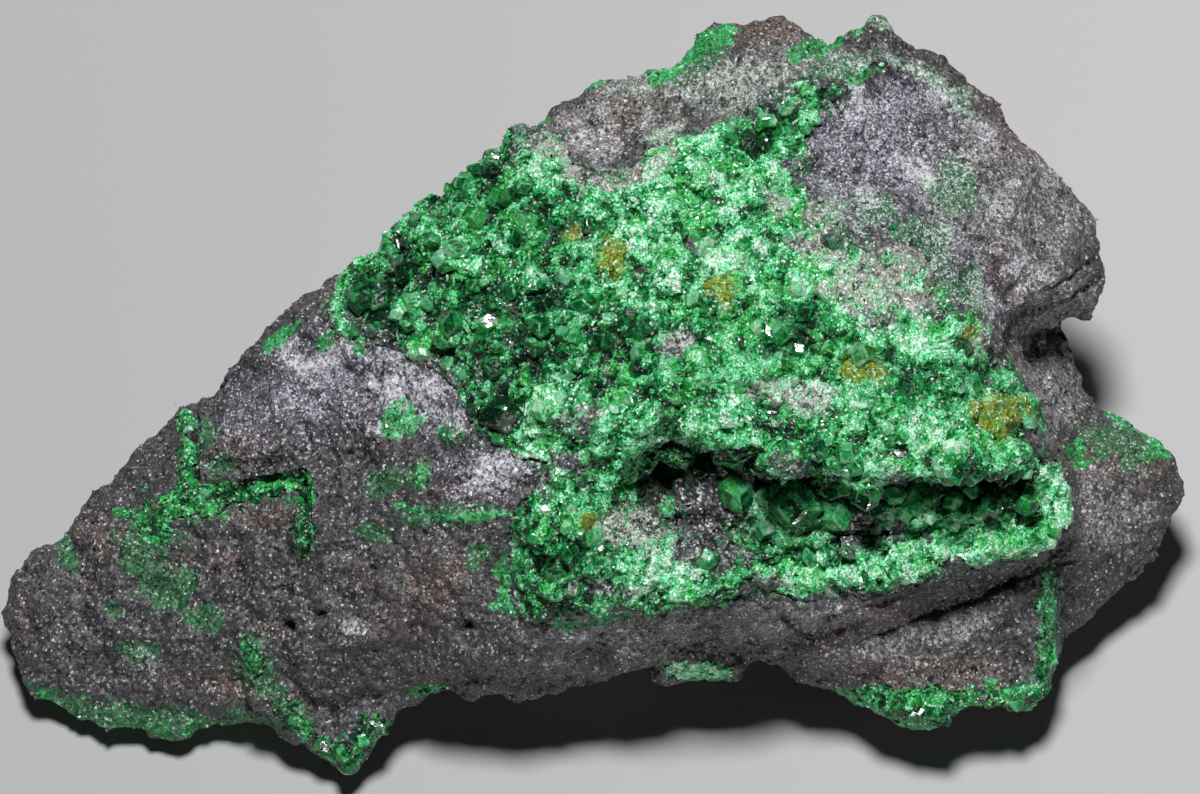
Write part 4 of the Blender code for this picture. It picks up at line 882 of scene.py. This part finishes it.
def crystal_template(name, bevel):
    """A rhombic dodecahedron of radius 1, the garnet's usual form, with the strips along its edges as rim,
    which the finish paints paler as painted highlights.
    """
    shape = bmesh.new()
    cube = [Vector((x, y, z)) / 2 for x in (-1, 1) for y in (-1, 1) for z in (-1, 1)]
    bmesh.ops.convex_hull(shape, input=[shape.verts.new(p) for p in cube + axis_tips(1)])
    bmesh.ops.dissolve_limit(shape, angle_limit=math.radians(5), verts=shape.verts, edges=shape.edges)
    rim = shape.faces.layers.float.new("rim")
    facet = shape.faces.layers.float.new("facet")
    # Every face is painted a tone of its own, as painted shading of the facets.
    for number, face in enumerate(shape.faces):
        face[facet] = (0.618 * number) % 1.0 - 0.5
    # The bevel strips become rim: painted highlights along the edges.
    if bevel:
        made = bmesh.ops.bevel(shape, geom=shape.edges, offset=bevel, segments=1, affect="EDGES", profile=0.5)
        for face in made["faces"]:
            face[rim] = 1.0
            face[facet] = 0.0
    keep_template(name, shape)


def splinter_template(name, height):
    """An octahedron of radius 1 and another height, for the finest grains."""
    shape = bmesh.new()
    bmesh.ops.convex_hull(shape, input=[shape.verts.new(p) for p in axis_tips(height)])
    keep_template(name, shape)


def axis_tips(height):
    return [Vector(axis) * side for axis in ((1, 0, 0), (0, 1, 0), (0, 0, height)) for side in (-1, 1)]


def keep_template(name, shape):
    """Keeps a form that is only repeated elsewhere, out of the scene."""
    for face in shape.faces:
        face.smooth = False
    bpy.data.objects.new(name, mesh_from(name, shape))


def random_value(tree, low, high, seed):
    """A random number for each point, or a random vector where low and high are vectors."""
    vector = isinstance(low, tuple)
    first = 0 if vector else 2
    settings = {"data_type": "FLOAT_VECTOR" if vector else "FLOAT"}
    values = {first: low, first + 1: high, "Seed": seed}
    return add(tree, "FunctionNodeRandomValue", settings, values, output=0 if vector else 1)


def named(tree, name):
    return add(tree, "GeometryNodeInputNamedAttribute", {"data_type": "FLOAT"}, {"Name": name})


def stored(tree, geometry, domain, name, value):
    """The geometry with a named number on each of its points or instances."""
    settings = {"data_type": "FLOAT", "domain": domain}
    values = {"Geometry": geometry, "Name": name, "Value": value}
    return add(tree, "GeometryNodeStoreNamedAttribute", settings, values)


def growth_tree(name, scattered):
    """Sets a crystal on each point, turned at random, and makes the result one mesh.

    Scattered points are chosen on a surface, where its cover says that crystals grow, and take their size
    from the inputs. Otherwise the points are given, each with its size.
    """
    tree = bpy.data.node_groups.new(name, "GeometryNodeTree")
    inputs = {"Geometry": "Geometry", "Crystal": "Object", "Finish": "Material", "Seed": "Int"}
    sizes = ("Sink", "Spacing", "Density", "Smallest", "Largest") if scattered else ("Sink",)
    inputs |= dict.fromkeys(sizes, "Float")
    for label, kind in inputs.items():
        tree.interface.new_socket(label, in_out="INPUT", socket_type="NodeSocket" + kind)
    tree.interface.new_socket("Geometry", in_out="OUTPUT", socket_type="NodeSocketGeometry")
    given = add(tree, "NodeGroupInput")
    seed = given.sibling("Seed")
    if scattered:
        spots = add(
            tree, "GeometryNodeDistributePointsOnFaces", {"distribute_method": "POISSON"},
            {
                "Mesh": given, "Distance Min": given.sibling("Spacing"), "Seed": seed,
                "Density Max": given.sibling("Density"), "Density Factor": named(tree, "cover"),
            },
        )
        size = random_value(tree, given.sibling("Smallest"), given.sibling("Largest"), seed + 1)
        points = stored(tree, spots, "POINT", "size", size * named(tree, "swell"))
        inward = named(tree, "size") * given.sibling("Sink") * -1.0
        offset = vector_maths(tree, "SCALE", {0: spots.sibling("Normal"), 3: inward})
        points = add(tree, "GeometryNodeSetPosition", {}, {"Geometry": points, "Offset": offset})
    else:
        points = add(tree, "GeometryNodeMeshToPoints", {"mode": "VERTICES"}, {"Mesh": given})
    form = add(tree, "GeometryNodeObjectInfo", {}, {"Object": given.sibling("Crystal")}, output="Geometry")
    turn = random_value(tree, (0.0,) * 3, (math.tau,) * 3, seed + 2)
    stretch = random_value(tree, (0.65,) * 3, (1.1,) * 3, seed + 4)
    scale = vector_maths(tree, "SCALE", {0: stretch, 3: named(tree, "size")})
    crystals = add(
        tree, "GeometryNodeInstanceOnPoints", {},
        {"Points": points, "Instance": form, "Rotation": turn, "Scale": scale},
    )
    toned = stored(tree, crystals, "INSTANCE", "tone", random_value(tree, 0.0, 1.0, seed + 3))
    mesh = add(tree, "GeometryNodeRealizeInstances", {}, {"Geometry": toned})
    mesh = add(tree, "GeometryNodeSetMaterial", {}, {"Geometry": mesh, "Material": given.sibling("Finish")})
    add(tree, "NodeGroupOutput", {}, {"Geometry": mesh})
    return tree


def grow(name, source, tree, form, finish, **inputs):
    """Runs a growth tree on a source object, which is used up, and gives the finished mesh."""
    inputs |= {"Crystal": bpy.data.objects[form], "Finish": bpy.data.materials[finish]}
    modifier = source.modifiers.new("Growth", "NODES")
    modifier.node_group = tree
    for item in tree.interface.items_tree:
        if item.in_out == "INPUT" and item.name in inputs:
            modifier[item.identifier] = inputs[item.name]
    return settled(source, name)


class Face:
    """What the line of sight meets, among given meshes."""

    def __init__(self, meshes):
        points, faces = [], []
        for mesh in meshes:
            first = len(points)
            points += [v.co.copy() for v in mesh.vertices]
            faces += [[first + k for k in polygon.vertices] for polygon in mesh.polygons]
        self.tree = BVHTree.FromPolygons(points, faces)

    def at(self, across, up):
        """The point seen at a place on the face, and the surface's normal there."""
        return self.tree.ray_cast(seen_at(across, up) + TO_VIEWER * 0.1, -TO_VIEWER)[:2]


def placed_points(name, crystals, face, sink, milky):
    """A mesh of single points, one for each clear or each milky crystal, each with its size and paleness."""
    found = [(face.at(x, y), radius, pale) for x, y, radius, pale in crystals if (pale >= 0.5) == milky]
    found = [(hit, radius, pale) for hit, radius, pale in found if hit[0]]
    mesh = bpy.data.meshes.new(name)
    mesh.from_pydata([hit[0] - hit[1] * radius * sink * MM for hit, radius, _ in found], [], [])
    store(mesh, "size", [radius * MM for _, radius, _ in found])
    store(mesh, "pale", [pale for _, _, pale in found])
    return linked(name, mesh)


def bed_of(skin, node):
    """The part of the skin where a garnet node comes to the surface, as an open mesh."""
    shape = bmesh.new()
    shape.from_mesh(skin.mesh)
    share = shape.verts.layers.float[node]
    outside = [face for face in shape.faces if min(vertex[share] for vertex in face.verts) < 0.2]
    bmesh.ops.delete(shape, geom=outside, context="FACES")
    return mesh_from(node + "_bed", shape)


def layers_of_crystals(name, bed, slot, cover, seed):
    """Grows the fine, the middling and the coarse crystals of one bed, each as one piece."""
    garnet = bpy.context.scene.garnet
    deep, mint, inner = (read_share(bed, key) for key in ("deep", "mint", "inner"))
    across, up = on_face(coordinates(bed))
    # The single crystals keep their places free.
    free = np.ones(len(across))
    for x, y, radius, _ in (*LARGE_CRYSTALS, *CLEFT_CRYSTALS, *EDGE_CRYSTALS):
        free *= smooth_step(np.hypot(across - x, (up - y) * 1.1), 0.7 * radius, 0.95 * radius)
    free = free * (1.0 - read_share(bed, "bare")) * (1.0 - read_share(bed, "stone"))
    # Kind, form, finish, spacing in millimetres, size, and where it grows.
    layers = (
        ("sugar", "sugar_form", "sugar_crystals", 0.31, garnet.sugar_size, free * (0.85 - 0.5 * deep)),
        ("grains", "grain_form", "small_crystals", 0.75, garnet.crystal_size,
         (0.35 + 0.65 * deep) * (1.0 - 0.7 * mint) * free * (0.3 + 0.7 * inner)),
        ("crystals", "crystal_form", "middling_crystals", 0.95, 1.7 * garnet.crystal_size,
         (0.04 + 0.96 * deep) * (1.0 - mint) * free * inner),
    )
    for number, (kind, form, finish, spacing, size, share) in enumerate(layers):
        mesh = bed.copy()
        store(mesh, "cover", cover * share)
        store(mesh, "swell", 0.5 + 0.5 * inner)
        grown = grow(
            f"{name}_{kind}", linked("growing_bed", mesh), bpy.data.node_groups[SCATTER], form, finish,
            Seed=seed + number, Sink=0.4, Spacing=spacing * MM, Density=2.0e7,
            Smallest=0.6 * size, Largest=1.3 * size,
        )
        if grown.data.polygons:
            finished(grown, slot)
        else:
            bpy.data.objects.remove(grown)


def scattered_on_rock(name, slot, cover, swell, form, finish, seed, spacing, smallest, largest):
    """Scatters small crystals over the rock, where a function of its skin says that they are."""
    mesh = bpy.data.objects["chromite_rock"].data.copy()
    mesh.materials.clear()
    skin = Skin(mesh)
    store(mesh, "cover", cover(skin))
    store(mesh, "swell", np.full(len(skin.points), swell))
    piece = grow(
        name, linked(name + "_bed", mesh), bpy.data.node_groups[SCATTER], form, finish, Seed=seed,
        Sink=0.3, Spacing=spacing * MM, Density=1.0e7, Smallest=smallest, Largest=largest,
    )
    finished(piece, slot)


class SPECIMEN_OT_skin(bpy.types.Operator):
    """Makes the even skin of the whole stone, from which the rock and the crusts are cut"""

    bl_idname = "specimen.skin"
    bl_label = "Stone Skin"

    def execute(self, context):
        rock = context.scene.rock
        shape = merged("chromite_matrix", *CRUST_NODES, swell=SKIN_SWELL * MM)
        for x, y, height, radius in CLEFT_ROCK:
            place = Matrix.Translation(seen_at(x, y, height))
            bmesh.ops.create_icosphere(shape, subdivisions=2, radius=radius * MM, matrix=place)
        skin = Skin(even_mesh(shape, "stone_skin", rock.grain))
        skin.write(skin.points - SKIN_SWELL * skin.normals)
        across, up = on_face(skin.points)
        wobble = 0.5 * lumps(skin.points, 1.3, 4)
        green = green_share(skin)
        shares = {}
        for node, (_, reach, only_green) in CRUST_NODES.items():
            share = fading(distance_from(node, skin.points) + wobble, 0.2 + reach, 0.6 + reach)
            shares[node] = share * green if only_green else share
        bared = patch_share(across, up, BARED, ragged(skin.points)) * skin.facing(-0.25, 0.1)
        shares["garnet_crust"] *= 1.0 - bared
        garnet = np.max(list(shares.values()), axis=0)
        mouth = route_distance(MOUTH, across, up)
        outside = smooth_step(mouth, 0.7, 1.8)
        # The rock rises gently to the thick edge of the main crust.
        near = fading(distance_from("garnet_crust", skin.points), 0.3, APRON_REACH)
        skin.rise(APRON_HEIGHT * near * (1.0 - garnet) * skin.facing(0.15, 0.45) * outside * (1.0 - bared))
        # The edge of a crust is worn flush with the rock, but not at the cleft.
        soft = skin.mean(garnet, EDGE_ROUNDS)
        small = sum(shares[node] for node in CRUST_NODES if node.endswith("rim_crystals"))
        small = skin.mean(small + shares["fissure_crystals"], 8)
        weight = np.clip(4.0 * soft * (1.0 - soft) * outside + small, 0.0, 1.0)
        points = skin.points
        for _ in range(WEAR_ROUNDS):
            points = points + (skin.mean(points, 1) - points) * weight[:, None]
        skin.write(points)
        height = rock.roughness_depth / MM * relief(points, *STONE_RELIEF)
        height = height * (1.0 - 0.4 * garnet) * smooth_step(skin.points[:, 2], 0.1, 1.2) - carved(skin)
        skin.rise(height - LIP_SINK * shares["garnet_crust"] * fading(mouth, 0.3, 1.3))
        for node, share in shares.items():
            store(skin.mesh, node, share)
        store(skin.mesh, "garnet", garnet)
        store(skin.mesh, "inner", smooth_step(skin.mean(garnet, INNER_ROUNDS), 0.4, 0.95))
        paint(skin, garnet, shares["garnet_crust"])
        bpy.data.objects.new("stone_skin", skin.mesh)
        return {"FINISHED"}


class SPECIMEN_OT_rock(bpy.types.Operator):
    """Makes the broken chromite lump, with its cracks, pits and stained zones"""

    bl_idname = "specimen.rock"
    bl_label = "Chromite Rock"

    def execute(self, context):
        skin = Skin(bpy.data.objects["stone_skin"].data.copy())
        across, up = on_face(skin.points)
        garnet = read_share(skin.mesh, "garnet")
        base = smooth_step(skin.points[:, 2], 0.1, 0.6)
        height = relief(skin.points, *ROCK_RELIEF) * (1.0 - garnet) * base
        height -= UNDER_CRUST * smooth_step(garnet, 0.6, 1.0)
        points = skin.points + skin.normals * height[:, None]
        tip = fading(np.hypot(across - PEAK[0], (up - PEAK[1]) * 0.8), 0.2, 1.0)
        skin.write(skin.worn(points, SPIKE_LENGTH) + tip[:, None] * np.array(UP_THE_FACE) * PEAK_HEIGHT)
        skin.mesh.materials.append(chromite_material())
        fine = linked("fine_rock", skin.mesh)
        fine.modifiers.new("Thinned", "DECIMATE").ratio = KEPT_FACES
        finished(settled(fine, "chromite_rock"), "chromite", "chromite_matrix")
        return {"FINISHED"}


class SPECIMEN_OT_forms(bpy.types.Operator):
    """Makes the crystal forms, the garnet's finishes and the growth that later steps repeat"""

    bl_idname = "specimen.forms"
    bl_label = "Crystal Forms"

    def execute(self, context):
        crystal_template("grain_form", 0.0)
        crystal_template("crystal_form", 0.09)
        crystal_template("large_form", 0.08)
        splinter_template("sugar_form", 1.4)
        splinter_template("chromite_form", 0.7)
        druse_material()
        for values in CRYSTAL_FINISHES:
            crystal_material(*values)
        growth_tree(SCATTER, True)
        return {"FINISHED"}


class SPECIMEN_OT_grains(bpy.types.Operator):
    """Scatters the chromite grains that stand out of the rock"""

    bl_idname = "specimen.grains"
    bl_label = "Chromite Grains"

    def execute(self, context):
        size = context.scene.rock.spinel_size
        chromite_material("chromite_faces", 0.5)

        def cover(skin):
            share = smooth_step(skin.points[:, 2], 0.6, 1.5)
            share = share * (0.55 + 0.45 * (lumps(skin.points, 2.0, 2) > 0))
            return share * fading(read_share(skin.mesh, "garnet"), 0.3, 0.7)

        scattered_on_rock(
            "chromite_grains", "chromite", cover, 1.0, "chromite_form", "chromite_faces",
            seed=21, spacing=0.45, smallest=0.5 * size, largest=1.6 * size,
        )
        return {"FINISHED"}


class SPECIMEN_OT_crusts(bpy.types.Operator):
    """Makes each garnet crust that lies flush in the rock: its sugary bed and its crystals"""

    bl_idname = "specimen.crusts"
    bl_label = "Garnet Crusts"

    def execute(self, context):
        skin = Skin(bpy.data.objects["stone_skin"].data)
        for number, (node, (slot, *_)) in enumerate(CRUST_NODES.items()):
            bed = Skin(bed_of(skin, node))
            share, inner = read_share(bed.mesh, node), read_share(bed.mesh, "inner")
            rise = 0.5 if node == "garnet_crust" else 0.25
            height = relief(bed.points, *CRUST_RELIEF) * share * 2.0 * rise * (0.35 + 0.65 * inner)
            bed.rise(height + rise * (0.7 * share + 0.3 * inner - 0.55))
            # Ridges and hollows of the bed, which the garnet's colour turns into painted light and painted
            # shade.
            store(bed.mesh, "raised", bed.raised())
            if node in DARKNESS:
                darkness = np.full(len(share), DARKNESS[node], np.float32)
                bed.mesh.attributes["deep"].data.foreach_set("value", darkness)
            cover = smooth_step(share, 0.35, 0.75) * bed.facing(-0.5, -0.1)
            layers_of_crystals(node, bed.mesh, slot, cover, context.scene.garnet.seed + 10 * number)
            piece = linked(node + "_open", bed.mesh)
            wall = piece.modifiers.new("Wall", "SOLIDIFY")
            wall.thickness = CRUST_WALL * MM
            wall.offset = -1.0
            piece = settled(piece, node + "_bed")
            piece.data.materials.append(bpy.data.materials["sugary_garnet"])
            finished(piece, slot, node)
        return {"FINISHED"}


class SPECIMEN_OT_fringe(bpy.types.Operator):
    """Scatters fine garnet over the rock where it is stained green"""

    bl_idname = "specimen.fringe"
    bl_label = "Garnet Fringe"

    def execute(self, context):
        size = context.scene.garnet.sugar_size

        def cover(skin):
            green = read_share(skin.mesh, "green") + 0.35 * lumps(skin.points, 0.9, 2)
            return smooth_step(green, 0.35, 0.9) * fading(read_share(skin.mesh, "garnet"), 0.5, 0.9)

        scattered_on_rock(
            "garnet_fringe", "garnet", cover, 0.9, "grain_form", "sugar_crystals",
            seed=77, spacing=0.42, smallest=0.6 * size, largest=1.5 * size,
        )
        return {"FINISHED"}


class SPECIMEN_OT_crystals(bpy.types.Operator):
    """Sets the crystals that stand out one by one, in the druse, the cleft and the lower edges"""

    bl_idname = "specimen.crystals"
    bl_label = "Single Crystals"

    def execute(self, context):
        beds = [bpy.data.objects[node + "_bed"].data for node in CRUST_NODES]
        face = Face([*beds, bpy.data.objects["chromite_rock"].data])
        tree = growth_tree("Placed growth", False)
        for name, crystals, finish, sink, seed in (
            ("druse_crystals", LARGE_CRYSTALS, "clear", 0.25, 3),
            # The cleft's crystals take a paler finish: painted light against the shade under the lip.
            ("cleft_crystals", CLEFT_CRYSTALS, "shaded", 0.15, 8),
            ("edge_crystals", EDGE_CRYSTALS, "clear", 0.5, 5),
        ):
            for kind, milky in ((finish, False), ("milky", True)):
                points = placed_points(name + "_places", crystals, face, sink, milky)
                piece = grow(f"{kind}_{name}", points, tree, "large_form", f"{kind}_crystals", Seed=seed)
                finished(piece, "dark_garnet")
        return {"FINISHED"}


def area_light(name, place, size, power):
    """A round lamp of that size in metres, aimed at the middle of the stone."""
    light = bpy.data.lights.new(name, "AREA")
    light.shape = "DISK"
    light.size = size
    light.energy = power
    made = linked(name, light)
    made.location = place
    middle = Vector((0.0, 0.0, MIDDLE_HEIGHT * MM))
    made.rotation_euler = (middle - Vector(place)).to_track_quat("-Z", "Y").to_euler()


class SPECIMEN_OT_stage(bpy.types.Operator):
    """Sets the paper floor, the soft lights and the camera"""

    bl_idname = "specimen.stage"
    bl_label = "Stage"

    def execute(self, context):
        stage = context.scene.stage
        shape = bmesh.new()
        bmesh.ops.create_grid(shape, x_segments=1, y_segments=1, size=FLOOR_REACH)
        floor = linked("paper_floor", mesh_from("paper_floor", shape))
        paper = Finish("pale_paper")
        # The paper is painted a little brighter on the right: painted light, falling off to the left.
        across = add(paper.tree, "ShaderNodeSeparateXYZ", {}, {0: paper.place}, output="X")
        brighter = [PAPER_SLOPE * value for value in stage.paper]
        paper.constant(Specular_IOR_Level=0.2, Roughness=0.9)
        paper.varying(Base_Color=paper.blend(across.over(-0.04, 0.06), stage.paper, brighter))
        floor.data.materials.append(paper.material)

        area_light("key", KEY_PLACE, KEY_SIZE, stage.key_power)
        area_light("fill", FILL_PLACE, FILL_SIZE, stage.fill_power)
        world = bpy.data.worlds.new("studio")
        world.use_nodes = True
        sky = world.node_tree.nodes["Background"].inputs
        sky["Color"].default_value = SKY_COLOUR
        sky["Strength"].default_value = SKY_STRENGTH
        context.scene.world = world

        lens = bpy.data.cameras.new("camera")
        lens.lens = lens.sensor_width * stage.distance / stage.frame_width
        camera = linked("camera", lens)
        # The middle of the picture is where across and up are both 0.
        aim = Vector((-CENTRE_X, -CENTRE_Y, 0.0)) * MM
        aim += TO_VIEWER * MIDDLE_HEIGHT * MM
        camera.location = aim + TO_VIEWER * stage.distance
        camera.rotation_euler = TO_VIEWER.to_track_quat("Z", "Y").to_euler()
        context.scene.camera = camera
        context.scene.view_settings.view_transform = "Standard"
        return {"FINISHED"}


STEPS = (
    SPECIMEN_OT_skin, SPECIMEN_OT_rock, SPECIMEN_OT_forms, SPECIMEN_OT_grains, SPECIMEN_OT_crusts,
    SPECIMEN_OT_fringe, SPECIMEN_OT_crystals, SPECIMEN_OT_stage,
)
GROUPS = {"rock": RockSettings, "garnet": GarnetSettings, "stage": StageSettings}


class SPECIMEN_PT_panel(bpy.types.Panel):
    """Lists the steps and their settings"""

    bl_idname = "SPECIMEN_PT_panel"
    bl_label = "Garnet Specimen"
    bl_space_type = "VIEW_3D"
    bl_region_type = "UI"
    bl_category = "Specimen"

    def draw(self, context):
        for group in GROUPS:
            settings = getattr(context.scene, group)
            box = self.layout.box()
            for name in settings.__annotations__:
                box.prop(settings, name)
        for step in STEPS:
            self.layout.operator(step.bl_idname)


CLASSES = (*GROUPS.values(), *STEPS, SPECIMEN_PT_panel)


def register():
    for item in CLASSES:
        bpy.utils.register_class(item)
    for name, group in GROUPS.items():
        setattr(bpy.types.Scene, name, PointerProperty(type=group))


def unregister():
    for name in GROUPS:
        delattr(bpy.types.Scene, name)
    for item in reversed(CLASSES):
        bpy.utils.unregister_class(item)


def main():
    noise.seed_set(5)
    register()
    bpy.ops.specimen.skin()
    bpy.ops.specimen.rock()
    bpy.ops.specimen.forms()
    bpy.ops.specimen.grains()
    bpy.ops.specimen.crusts()
    bpy.ops.specimen.fringe()
    bpy.ops.specimen.crystals()
    bpy.ops.specimen.stage()


if __name__ == "__main__":
    main()
